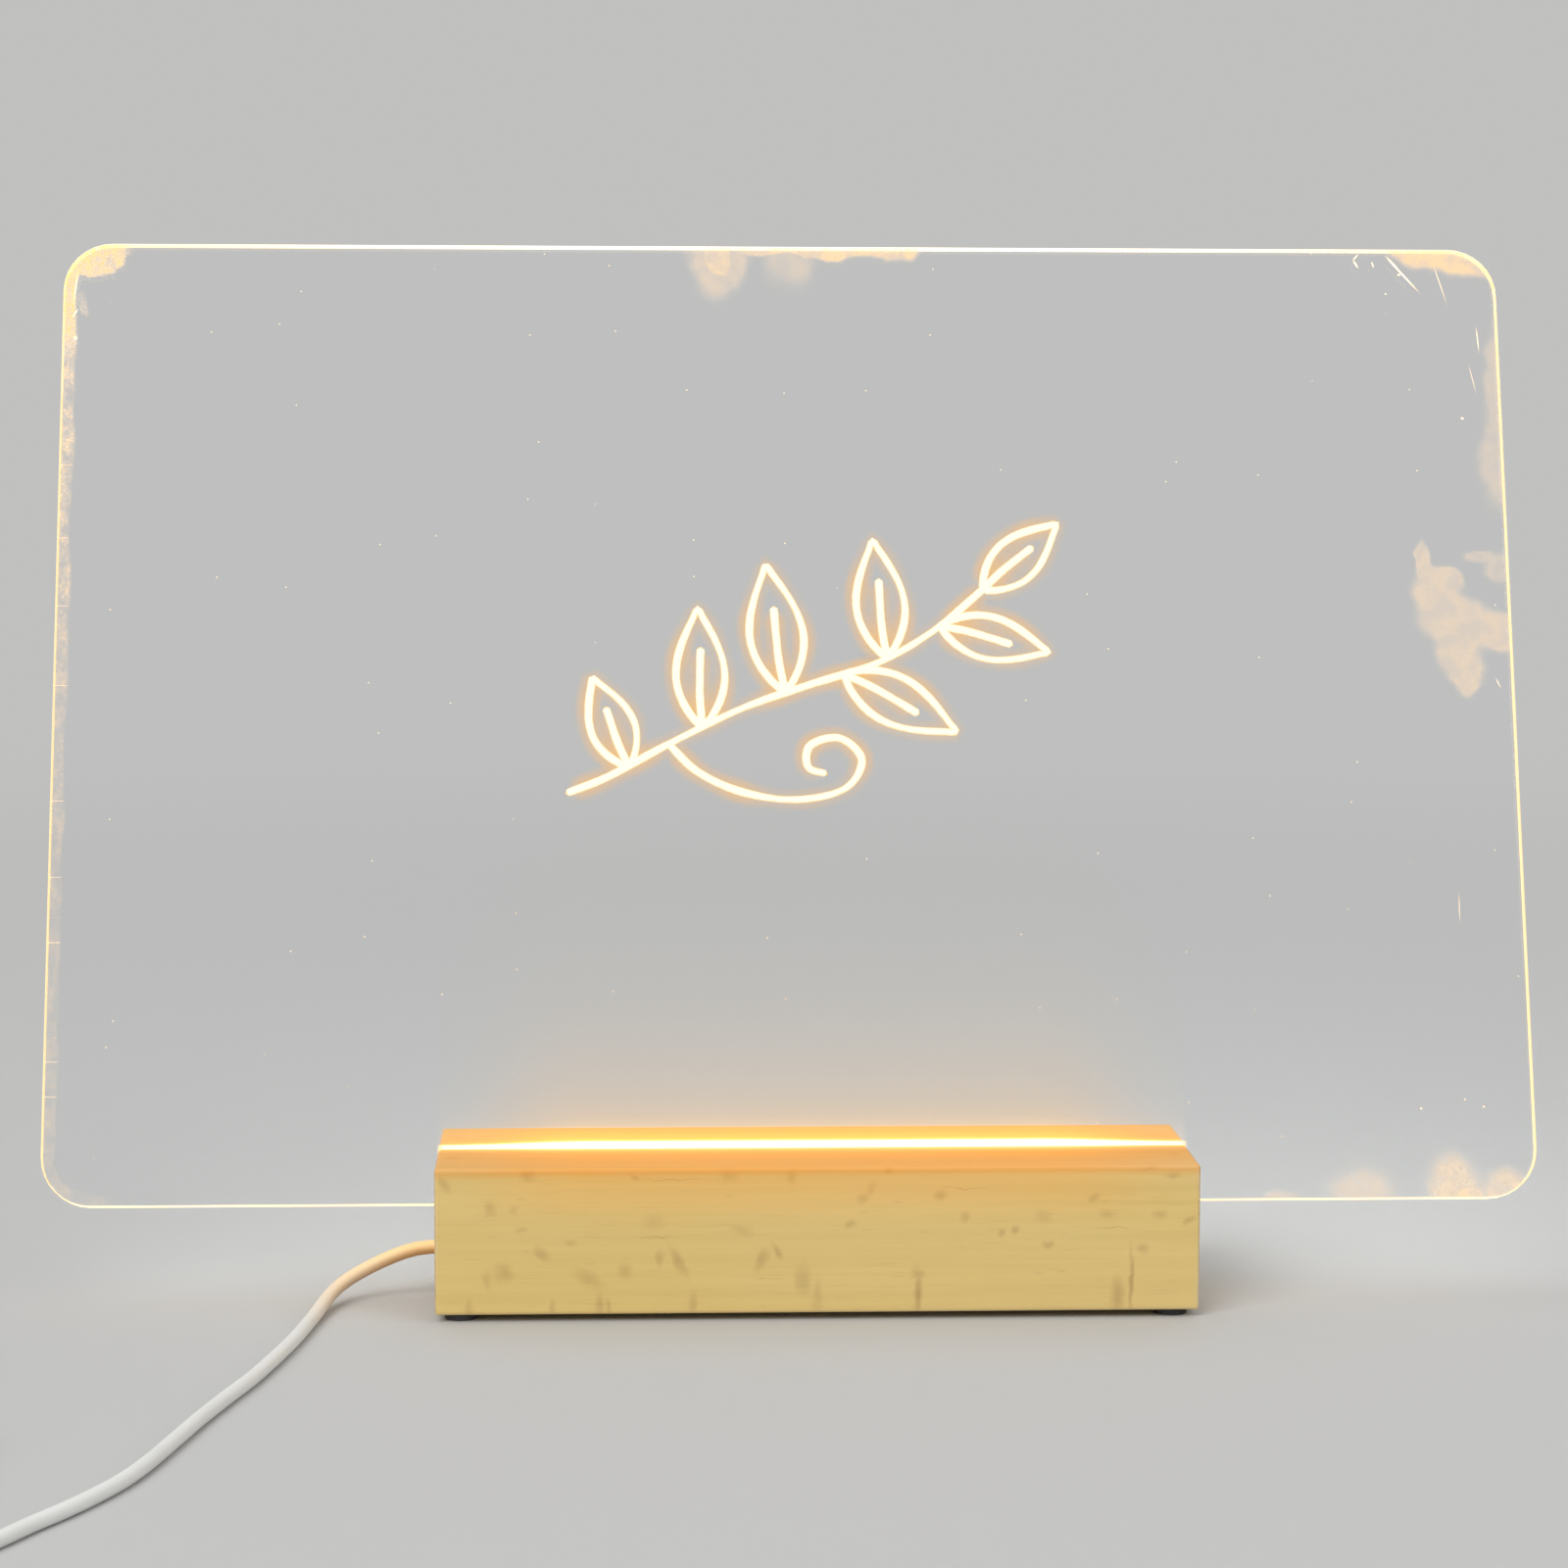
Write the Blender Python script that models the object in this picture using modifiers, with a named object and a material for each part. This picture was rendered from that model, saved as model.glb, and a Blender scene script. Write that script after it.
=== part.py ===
"""A light-up writing board: a clear sheet that leans back in a slotted wooden base, where a row of small
lamps lights its lower edge, on a lead with an in-line switch and a flat plug.

Metres, +Z up. X runs along the board, Y from the front of the base to the back, and Z is 0 on the table.
The origin is the middle of the footprint of the board and its base.
"""

import math

import bmesh
import bpy
from mathutils import Vector

MM = 0.001

# Fits and cuts
GAP = 0.3 * MM  # between pieces that touch
OVERRUN = 1 * MM  # how far a cutter passes the face that it opens

# Board
BOARD_WIDTH = 300 * MM
BOARD_HEIGHT = 200 * MM
BOARD_THICKNESS = 3 * MM
BOARD_CORNER = 10 * MM
BOARD_EDGE = 0.25 * MM
BOARD_LEAN = math.radians(17)
CORNER_STEPS = 8

# Wooden block
BLOCK_LENGTH = 150 * MM
BLOCK_DEPTH = 42 * MM
BLOCK_HEIGHT = 29 * MM
BLOCK_EDGE = 0.7 * MM
BLOCK_OFFSET = 3.7 * MM  # the block's middle lies this far to the right of the board's
END_WALL = 5 * MM
GROOVE_FROM_FRONT = 22 * MM  # at the block's top face
GROOVE_DEPTH = 11.3 * MM
GROOVE_FLOOR = 1.8 * MM  # the wood between the groove and the light box
SLIT_WIDTH = 2.2 * MM
LIGHT_BOX_WIDTH = 6 * MM
LIGHT_BOX_HEIGHT = 2.4 * MM
LIGHT_BOX_INSET = 6 * MM  # from the end of the cavity
CAVITY_ROOM = 1 * MM  # around what the cavity holds

# Bottom plate, its screws and the feet
PLATE_THICKNESS = 2.5 * MM
PLATE_MARGIN = 8.7 * MM  # the wood beside the plate's recess
PLATE_LEDGE = 1 * MM  # past each end of the cavity
PLATE_SCREW_INSET = 8 * MM
FOOT_DIAMETER = 6.5 * MM
FOOT_HEIGHT = 1.2 * MM
FOOT_INSET = 5 * MM
WOOD_SCREW_LENGTH = 7 * MM
WOOD_SCREW_SHANK = 1.8 * MM
WOOD_SCREW_HEAD = 3.6 * MM
WOOD_SCREW_HEAD_HEIGHT = 1.1 * MM
SCREW_SLOT = 0.5 * MM  # width of the arms of the cross recess
SCREW_SLOT_DEPTH = 0.6 * MM

# Lamp strip
STRIP_WIDTH = 10 * MM
STRIP_THICKNESS = 1.2 * MM
STRIP_SCREW_LENGTH = 4.5 * MM
STRIP_SCREW_INSET = 2.5 * MM
STRIP_SCREW_SIDE = 1.6 * MM  # how far in front of the lamps' line the strip's screws stand
LAMP_LENGTH = 3.5 * MM
LAMP_WIDTH = 2.8 * MM
LAMP_HEIGHT = 0.8 * MM
LAMP_EDGE = 0.2 * MM
LAMPS = 12
RESISTOR_LENGTH = 3.2 * MM
RESISTOR_WIDTH = 1.6 * MM
RESISTOR_HEIGHT = 0.6 * MM
RESISTORS = 3

# Lead
CORD_DIAMETER = 2.8 * MM
CORD_FROM_FRONT = 22.4 * MM
CORD_INSIDE = 8 * MM  # from the cavity's end wall to the end of the jacket
CORD_STEP = 7.5 * MM
BAND_WIDTH = 2.5 * MM  # the cable tie that keeps the lead from being pulled out
BAND_THICKNESS = 0.9 * MM
BAND_HEAD = 2 * MM
BAND_ROOM = 0.6 * MM
WIRE_DIAMETER = 1 * MM
WIRE_SPACING = 1.5 * MM
WIRE_REACH = 10 * MM  # from the end of the jacket to the pads on the strip
WIRE_SHIFT = 1.4 * MM

# In-line switch
SWITCH_LENGTH = 38 * MM
SWITCH_WIDTH = 15 * MM
SWITCH_HEIGHT = 11 * MM
SWITCH_SPLIT = 5.2 * MM  # height of the joint between the two cases, and of the lead
SWITCH_WALL = 1.4 * MM
SWITCH_EDGE = 1.5 * MM
NECK_LENGTH = 6 * MM
NECK_DIAMETER = 6.4 * MM
NECK_END_DIAMETER = 5 * MM
BUTTON_DIAMETER = 7.4 * MM
BUTTON_PROUD = 1.8 * MM
BUTTON_TRAVEL = 1.2 * MM
BUTTON_ROOF = 1.2 * MM
BUTTON_EDGE = 0.5 * MM
FLANGE_DIAMETER = 11 * MM
FLANGE_THICKNESS = 1 * MM
SPRING_DIAMETER = 3.2 * MM  # to the middle of the wire
SPRING_WIRE = 0.5 * MM
SPRING_TURNS = 5
POCKET_DIAMETER = 4.5 * MM
POST_DIAMETER = 6 * MM
RING_DIAMETER = 10.4 * MM
RING_BORE = 5.2 * MM
RING_THICKNESS = 0.5 * MM
STRIP_CONTACT_WIDTH = 2.6 * MM
STRIP_CONTACT_THICKNESS = 0.4 * MM
STRIP_CONTACT_START = 3.6 * MM
STRIP_CONTACT_END = 13.8 * MM
RIB_THICKNESS = 2 * MM
RIB_PLACE = 8 * MM
BOSS_DIAMETER = 6 * MM
BOSS_ALONG = 12.5 * MM
BOSS_SIDE = 4 * MM
UPPER_BOSS_DIAMETER = 4.6 * MM
SWITCH_SCREW_LENGTH = 7 * MM
SWITCH_CORD_INSIDE = 2 * MM
SWITCH_WIRE_SIDE = 4 * MM

# Coil of the lead, and its tie
COIL_MIDDLE_DIAMETER = 32.2 * MM
TURN_GAP = 0.55 * MM
TURNS_IN_LAYER = 4
POINTS_IN_TURN = 24
COIL_RUN = 3 * MM  # the straight ends of the coiled tube
LINK_LENGTH = 26 * MM  # the lead between the switch and the coil
TAIL_LENGTH = 20 * MM  # the lead between the coil and the plug
TIE_WIDTH = 3 * MM
TIE_THICKNESS = 0.8 * MM
TIE_ROOM = 0.5 * MM
TIE_CORNER = 2 * MM

# Plug
PLUG_WIDTH = 15.6 * MM
PLUG_HEIGHT = 7.8 * MM
PLUG_LENGTH = 24 * MM
PLUG_EDGE = 1 * MM
RELIEF_LENGTH = 8 * MM
RELIEF_DIAMETER = 6 * MM
RELIEF_END_DIAMETER = 4.2 * MM
SHELL_WIDTH = 12 * MM
SHELL_HEIGHT = 4.5 * MM
SHELL_LENGTH = 18 * MM
SHELL_WALL = 0.35 * MM
SHELL_CORNER = 0.6 * MM
SHELL_SEATED = 6 * MM
WINDOW_SIZE = 2 * MM
WINDOW_SPACING = 4.5 * MM
WINDOW_FROM_MOUTH = 5 * MM
TONGUE_WIDTH = 10.6 * MM
TONGUE_THICKNESS = 1.8 * MM
TONGUE_SHORT = 0.8 * MM  # how far the tongue stays behind the shell's mouth
CONTACT_WIDTH = 1 * MM
CONTACT_THICKNESS = 0.2 * MM
CONTACT_LENGTH = 8 * MM
CONTACT_PITCHES = (-3.5 * MM, -1 * MM, 1 * MM, 3.5 * MM)

# The lead's route from the base to the switch, chosen by hand: across and forward from the hole in the
# base's end, and how far the lead is lifted off the table
LEAD_ROUTE = [
    (-5.0, -0.5, 8.5),
    (-10.0, -1.2, 6.9),
    (-14.5, -2.0, 4.9),
    (-18.2, -3.5, 3.0),
    (-20.6, -7.4, 1.7),
    (-22.2, -13.6, 0.7),
    (-23.6, -22.9, 0.1),
    (-25.9, -39.7, 0.0),
    (-28.4, -54.2, 0.0),
    (-31.2, -68.4, 0.0),
    (-34.5, -81.9, 0.0),
    (-37.8, -95.9, 0.0),
    (-41.0, -111.4, 0.0),
    (-43.6, -123.9, 0.0),
    (-46.4, -134.4, 0.0),
    (-50.0, -143.7, 0.0),
    (-54.0, -152.1, 0.0),
    (-58.3, -160.0, 0.0),
    (-61.9, -167.3, 0.0),
    (-66.4, -175.0, 0.0),
    (-72.0, -180.2, 0.0),
    (-78.6, -181.6, 0.0),
    (-84.6, -178.4, 0.1),
    (-88.1, -172.6, 0.9),
    (-89.2, -166.4, 2.6),
]
LEAD_END = (-89.2, -159.5)  # where the lead meets the switch's neck

# Places that follow from the sizes
WOOD_BOTTOM = FOOT_HEIGHT + GAP
WOOD_TOP = WOOD_BOTTOM + BLOCK_HEIGHT
LEAN_SIN = math.sin(BOARD_LEAN)
LEAN_COS = math.cos(BOARD_LEAN)
FLOOR_FROM_FRONT = GROOVE_FROM_FRONT - GROOVE_DEPTH * math.tan(BOARD_LEAN)
FOOTPRINT_DEPTH = FLOOR_FROM_FRONT + (BOARD_HEIGHT + GAP) * LEAN_SIN + BOARD_THICKNESS / 2 * LEAN_COS
FRONT = -FOOTPRINT_DEPTH / 2
BLOCK_MIDDLE = FRONT + BLOCK_DEPTH / 2
LAMP_LINE = FRONT + FLOOR_FROM_FRONT
CORD_LINE = FRONT + CORD_FROM_FRONT
FLOOR_LEVEL = WOOD_TOP - GROOVE_DEPTH
LIGHT_BOX_TOP = FLOOR_LEVEL - GROOVE_FLOOR
STRIP_SEAT = LIGHT_BOX_TOP - LIGHT_BOX_HEIGHT
STRIP_TOP = STRIP_SEAT - GAP
STRIP_BOTTOM = STRIP_TOP - STRIP_THICKNESS
BAND_RADIUS = CORD_DIAMETER / 2 + GAP + BAND_THICKNESS
CORD_LEVEL = STRIP_BOTTOM - BAND_ROOM - BAND_RADIUS
CAVITY_LENGTH = BLOCK_LENGTH - 2 * END_WALL
LIT_LENGTH = CAVITY_LENGTH - 2 * LIGHT_BOX_INSET
STRIP_LENGTH = CAVITY_LENGTH - 2 * CAVITY_ROOM
CAVITY_FRONT = LAMP_LINE - STRIP_WIDTH / 2 - CAVITY_ROOM
CAVITY_BACK = CORD_LINE + BAND_RADIUS + CAVITY_ROOM
RECESS_LENGTH = CAVITY_LENGTH + 2 * PLATE_LEDGE + 2 * GAP
RECESS_WIDTH = BLOCK_DEPTH - 2 * PLATE_MARGIN
RECESS_DEPTH = PLATE_THICKNESS + GAP
SCREW_HOLE = WOOD_SCREW_SHANK + 2 * GAP
LEFT_END = BLOCK_OFFSET - BLOCK_LENGTH / 2
CORD_HOLE = CORD_DIAMETER + 2 * GAP
TURN_PITCH = CORD_DIAMETER + TURN_GAP


def clear_scene():
    for old in list(bpy.data.objects):
        bpy.data.objects.remove(old, do_unlink=True)


def collection(name):
    made = bpy.data.collections.new(name)
    bpy.context.scene.collection.children.link(made)
    return made


clear_scene()
PARTS = collection("led_writing_board")
CUTTERS = collection("cutters")


def finish(name, colour, roughness, metallic=0.0, transmission=0.0, glow=0.0):
    """A Principled material."""
    made = bpy.data.materials.new(name)
    made.use_nodes = True
    shader = made.node_tree.nodes["Principled BSDF"]
    shader.inputs["Base Color"].default_value = (*colour, 1)
    shader.inputs["Roughness"].default_value = roughness
    shader.inputs["Metallic"].default_value = metallic
    shader.inputs["Transmission Weight"].default_value = transmission
    shader.inputs["Emission Color"].default_value = (*colour, 1)
    shader.inputs["Emission Strength"].default_value = glow
    made.diffuse_color = (*colour, 1)
    return made


ACRYLIC = finish("clear_acrylic", (0.95, 0.97, 0.97), 0.04, transmission=1.0)
BEECH = finish("beech", (0.72, 0.52, 0.32), 0.6)
PLYWOOD = finish("plywood", (0.66, 0.5, 0.33), 0.7)
STEEL = finish("zinc_steel", (0.62, 0.62, 0.6), 0.35, metallic=1.0)
RUBBER = finish("foot_rubber", (0.05, 0.05, 0.05), 0.85)
STRIP_WHITE = finish("strip_white", (0.85, 0.86, 0.83), 0.4)
LAMP_GLOW = finish("lamp_glow", (1.0, 0.78, 0.42), 0.4, glow=3.0)
CHIP_BLACK = finish("chip_black", (0.03, 0.03, 0.03), 0.4)
WHITE_PVC = finish("white_pvc", (0.82, 0.82, 0.79), 0.4)
RED_PVC = finish("red_pvc", (0.6, 0.03, 0.02), 0.4)
BLACK_PVC = finish("black_pvc", (0.02, 0.02, 0.02), 0.4)
NYLON = finish("tie_nylon", (0.85, 0.85, 0.8), 0.5)
WHITE_ABS = finish("white_abs", (0.86, 0.86, 0.84), 0.35)
BRASS = finish("contact_brass", (0.75, 0.55, 0.25), 0.3, metallic=1.0)
NICKEL = finish("plug_nickel", (0.72, 0.72, 0.7), 0.25, metallic=1.0)
SPRING_STEEL = finish("spring_steel", (0.45, 0.45, 0.46), 0.35, metallic=1.0)


def frame_at(name, place, turn=(0, 0, 0)):
    """An empty that carries the pieces of one assembly."""
    empty = bpy.data.objects.new(name, None)
    PARTS.objects.link(empty)
    empty.location = place
    empty.rotation_euler = turn
    return empty


def put(name, data, place, look, frame=None, turn=(0, 0, 0)):
    """An object for a piece, or for a cutter where look is None."""
    made = bpy.data.objects.new(name, data)
    (PARTS if look else CUTTERS).objects.link(made)
    made.location = place
    made.rotation_euler = turn
    made.parent = frame
    if look:
        data.materials.clear()
        data.materials.append(look)
    else:
        made.hide_render = True
        made.display_type = "WIRE"
    return made


def box(name, size, place, look=None, frame=None, turn=(0, 0, 0)):
    mesh = bpy.data.meshes.new(name)
    shape = bmesh.new()
    bmesh.ops.create_cube(shape, size=1)
    bmesh.ops.scale(shape, vec=size, verts=shape.verts)
    shape.to_mesh(mesh)
    shape.free()
    return put(name, mesh, place, look, frame, turn)


def span(low, high):
    """The middle and the length of a stretch."""
    return (low + high) / 2, high - low


def drum(name, diameter, length, place, look=None, frame=None, axis="Z", top=None, sides=24):
    """A cylinder along an axis, or a cone where top is the diameter of its far end."""
    mesh = bpy.data.meshes.new(name)
    shape = bmesh.new()
    far = diameter if top is None else top
    bmesh.ops.create_cone(
        shape, cap_ends=True, segments=sides, radius1=diameter / 2, radius2=far / 2, depth=length
    )
    shape.to_mesh(mesh)
    shape.free()
    smooth(mesh)
    turn = {"X": (0, math.pi / 2, 0), "Y": (-math.pi / 2, 0, 0), "Z": (0, 0, 0)}[axis]
    return put(name, mesh, place, look, frame, turn)


def smooth(mesh):
    mesh.shade_smooth()
    mesh.set_sharp_from_angle(angle=math.radians(35))


def round_edges(obj, width, steps=2):
    bevel = obj.modifiers.new("rounded_edges", "BEVEL")
    bevel.width = width
    bevel.segments = steps
    bevel.limit_method = "ANGLE"
    return obj


def combine(obj, tool, operation):
    change = obj.modifiers.new(tool.name, "BOOLEAN")
    change.operation = operation
    change.object = tool
    change.solver = "EXACT"


def cut(obj, *tools):
    for tool in tools:
        combine(obj, tool, "DIFFERENCE")


def join(obj, *tools):
    for tool in tools:
        combine(obj, tool, "UNION")


def baked(obj):
    """The object's final mesh, with the object and its modifiers taken away."""
    bpy.context.view_layer.update()
    graph = bpy.context.evaluated_depsgraph_get()
    mesh = bpy.data.meshes.new_from_object(obj.evaluated_get(graph))
    bpy.data.objects.remove(obj, do_unlink=True)
    return mesh


def smooth_path(route, step):
    """Points about a step apart on a smooth curve through the route's own points."""
    knots = [Vector(point) for point in route]
    knots = [2 * knots[0] - knots[1], *knots, 2 * knots[-1] - knots[-2]]
    steps = 12
    fine = []
    for a, b, c, d in zip(knots, knots[1:], knots[2:], knots[3:]):
        for k in range(steps):
            t = k / steps
            bend = 2 * b + (c - a) * t + (2 * a - 5 * b + 4 * c - d) * t**2
            fine.append((bend + (3 * b - a - 3 * c + d) * t**3) / 2)
    fine.append(knots[-2])
    along = [0.0]
    for a, b in zip(fine, fine[1:]):
        along.append(along[-1] + (b - a).length)
    count = max(2, round(along[-1] / step))
    points = []
    k = 0
    for i in range(count + 1):
        want = along[-1] * i / count
        while k < len(along) - 2 and along[k + 1] < want:
            k += 1
        share = (want - along[k]) / (along[k + 1] - along[k])
        points.append(fine[k].lerp(fine[k + 1], share))
    return points


def path_length(points):
    return sum((Vector(b) - Vector(a)).length for a, b in zip(points, points[1:]))


def tube(name, points, diameter, look, frame=None, roundness=2):
    curve = bpy.data.curves.new(name, "CURVE")
    curve.dimensions = "3D"
    spline = curve.splines.new("POLY")
    spline.points.add(len(points) - 1)
    for knot, point in zip(spline.points, points):
        knot.co = (*point, 1)
    curve.bevel_depth = diameter / 2
    curve.bevel_resolution = roundness
    curve.use_fill_caps = True
    return put(name, curve, (0, 0, 0), look, frame)


def outline(width, height, corner, steps):
    """The corners of a rounded rectangle about the origin, counter-clockwise."""
    points = []
    for k, (side, up) in enumerate(((1, 1), (-1, 1), (-1, -1), (1, -1))):
        centre = Vector((side * (width / 2 - corner), up * (height / 2 - corner)))
        for i in range(steps + 1):
            angle = (k + i / steps) * math.pi / 2
            points.append(centre + corner * Vector((math.cos(angle), math.sin(angle))))
    return points


def flat(name, outlines, thickness, place, look=None, frame=None, turn=(0, 0, 0)):
    """A plate from closed outlines: the first is its edge, and the others are holes."""
    curve = bpy.data.curves.new(name, "CURVE")
    curve.dimensions = "2D"
    curve.fill_mode = "BOTH"
    curve.extrude = thickness / 2
    for points in outlines:
        spline = curve.splines.new("POLY")
        spline.points.add(len(points) - 1)
        for knot, point in zip(spline.points, points):
            knot.co = (*point, 0, 1)
        spline.use_cyclic_u = True
    mesh = baked(put(name, curve, (0, 0, 0), None))
    shape = bmesh.new()
    shape.from_mesh(mesh)
    bmesh.ops.remove_doubles(shape, verts=shape.verts, dist=GAP / 100)
    bmesh.ops.recalc_face_normals(shape, faces=shape.faces)
    shape.to_mesh(mesh)
    shape.free()
    return put(name, mesh, place, look, frame, turn)


def turned(name, profile, sides=16):
    """A mesh turned about Z from a profile of (radius, height), top to bottom."""
    mesh = bpy.data.meshes.new(name)
    points = [(radius, 0, height) for radius, height in profile]
    mesh.from_pydata(points, [(i, i + 1) for i in range(len(points) - 1)], [])
    lathe = put(name, mesh, (0, 0, 0), None)
    screw = lathe.modifiers.new("lathe", "SCREW")
    screw.steps = sides
    screw.render_steps = sides
    screw.use_merge_vertices = True
    screw.merge_threshold = GAP / 100
    made = baked(lathe)
    smooth(made)
    return made


def screw_mesh(length, shank, head, head_height, name="screw"):
    """A countersunk screw, head up, with its top face on Z 0 and a cross recess."""
    profile = [
        (0, 0),
        (head / 2, 0),
        (head / 2, -GAP),
        (shank / 2, -head_height),
        (shank / 2, -length + shank),
        (0, -length),
    ]
    blank = put(name, turned(name, profile), (0, 0, 0), None)
    arm = head / 2
    deep = SCREW_SLOT_DEPTH * 2
    along = box(name + "_slot_a", (arm, SCREW_SLOT, deep), (0, 0, 0))
    across = box(name + "_slot_b", (SCREW_SLOT, arm, deep), (0, 0, 0))
    cut(blank, along, across)
    return baked(blank)


def add_board():
    """The sheet, on a frame whose Z runs up the sheet from the middle of the groove's floor."""
    lean = frame_at("board_lean", (0, LAMP_LINE, FLOOR_LEVEL), (-BOARD_LEAN, 0, 0))
    edge = outline(BOARD_WIDTH, BOARD_HEIGHT, BOARD_CORNER, CORNER_STEPS)
    middle = (0, 0, GAP + BOARD_HEIGHT / 2)
    board = flat("acrylic_board", [edge], BOARD_THICKNESS, middle, ACRYLIC, lean, (math.pi / 2, 0, 0))
    round_edges(board, BOARD_EDGE, 1)
    return lean


def groove_cutters(lean):
    width = BOARD_THICKNESS + 2 * GAP
    up, height = span(0, GROOVE_DEPTH / LEAN_COS + width + OVERRUN)
    groove = box("groove", (BLOCK_LENGTH + 2 * OVERRUN, width, height), (BLOCK_OFFSET, 0, up), None, lean)
    up, height = span(-GROOVE_FLOOR / LEAN_COS - OVERRUN, OVERRUN)
    slit = box("light_slit", (LIT_LENGTH, SLIT_WIDTH, height), (BLOCK_OFFSET, 0, up), None, lean)
    return groove, slit


def plate_screw_places():
    """Where the four screws stand, in the wood between the recess and the cavity."""
    side = RECESS_LENGTH / 2 - PLATE_SCREW_INSET
    front = (BLOCK_MIDDLE - RECESS_WIDTH / 2 + CAVITY_FRONT) / 2
    back = (BLOCK_MIDDLE + RECESS_WIDTH / 2 + CAVITY_BACK) / 2
    return [(BLOCK_OFFSET + x, y) for y in (front, back) for x in (-side, side)]


def strip_screw_places():
    side = STRIP_LENGTH / 2 - STRIP_SCREW_INSET
    return [(BLOCK_OFFSET + x, LAMP_LINE - STRIP_SCREW_SIDE) for x in (-side, side)]


def add_block(lean):
    middle = (BLOCK_OFFSET, BLOCK_MIDDLE, WOOD_BOTTOM + BLOCK_HEIGHT / 2)
    block = box("base_block", (BLOCK_LENGTH, BLOCK_DEPTH, BLOCK_HEIGHT), middle, BEECH)
    round_edges(block, BLOCK_EDGE, 3)
    cut(block, *groove_cutters(lean))

    z, height = span(STRIP_SEAT - OVERRUN, LIGHT_BOX_TOP)
    cut(block, box("light_box", (LIT_LENGTH, LIGHT_BOX_WIDTH, height), (BLOCK_OFFSET, LAMP_LINE, z)))
    y, width = span(CAVITY_FRONT, CAVITY_BACK)
    z, height = span(WOOD_BOTTOM, STRIP_SEAT)
    cut(block, box("cavity", (CAVITY_LENGTH, width, height), (BLOCK_OFFSET, y, z)))
    z, height = span(WOOD_BOTTOM - OVERRUN, WOOD_BOTTOM + RECESS_DEPTH)
    cut(block, box("plate_recess", (RECESS_LENGTH, RECESS_WIDTH, height), (BLOCK_OFFSET, BLOCK_MIDDLE, z)))

    x, length = span(LEFT_END - OVERRUN, LEFT_END + END_WALL + OVERRUN)
    cut(block, drum("cord_hole", CORD_HOLE, length, (x, CORD_LINE, CORD_LEVEL), axis="X", sides=16))
    for k, (x, y) in enumerate(plate_screw_places()):
        z, length = span(WOOD_BOTTOM, WOOD_BOTTOM + WOOD_SCREW_LENGTH + 2 * GAP)
        cut(block, drum(f"plate_pilot_{k}", SCREW_HOLE, length, (x, y, z), sides=16))
    for k, (x, y) in enumerate(strip_screw_places()):
        z, length = span(STRIP_BOTTOM, STRIP_BOTTOM + STRIP_SCREW_LENGTH)
        cut(block, drum(f"strip_pilot_{k}", SCREW_HOLE, length, (x, y, z), sides=16))
    return block


def add_plate():
    size = (RECESS_LENGTH - 2 * GAP, RECESS_WIDTH - 2 * GAP, PLATE_THICKNESS)
    middle = (BLOCK_OFFSET, BLOCK_MIDDLE, WOOD_BOTTOM + PLATE_THICKNESS / 2)
    plate = box("bottom_plate", size, middle, PLYWOOD)
    screw = screw_mesh(WOOD_SCREW_LENGTH, WOOD_SCREW_SHANK, WOOD_SCREW_HEAD, WOOD_SCREW_HEAD_HEIGHT)
    wide = WOOD_SCREW_HEAD + 2 * GAP
    for k, (x, y) in enumerate(plate_screw_places()):
        z, length = span(WOOD_BOTTOM - OVERRUN, WOOD_BOTTOM + PLATE_THICKNESS + OVERRUN)
        cut(plate, drum(f"plate_hole_{k}", SCREW_HOLE, length, (x, y, z), sides=16))
        z, length = span(WOOD_BOTTOM + GAP, WOOD_BOTTOM + WOOD_SCREW_HEAD_HEIGHT + GAP)
        cone = drum(f"countersink_{k}", wide, length, (x, y, z), top=SCREW_HOLE, sides=16)
        z, length = span(WOOD_BOTTOM - OVERRUN, WOOD_BOTTOM + 2 * GAP)
        cut(plate, cone, drum(f"head_hole_{k}", wide, length, (x, y, z), sides=16))
        put(f"plate_screw_{k + 1}", screw, (x, y, WOOD_BOTTOM), STEEL, turn=(math.pi, 0, 0))


def add_feet():
    for k, (side, row) in enumerate(((-1, -1), (1, -1), (-1, 1), (1, 1))):
        x = BLOCK_OFFSET + side * (BLOCK_LENGTH / 2 - FOOT_INSET)
        y = BLOCK_MIDDLE + row * (BLOCK_DEPTH / 2 - FOOT_INSET)
        drum(f"rubber_foot_{k + 1}", FOOT_DIAMETER, FOOT_HEIGHT, (x, y, FOOT_HEIGHT / 2), RUBBER, sides=20)


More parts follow.
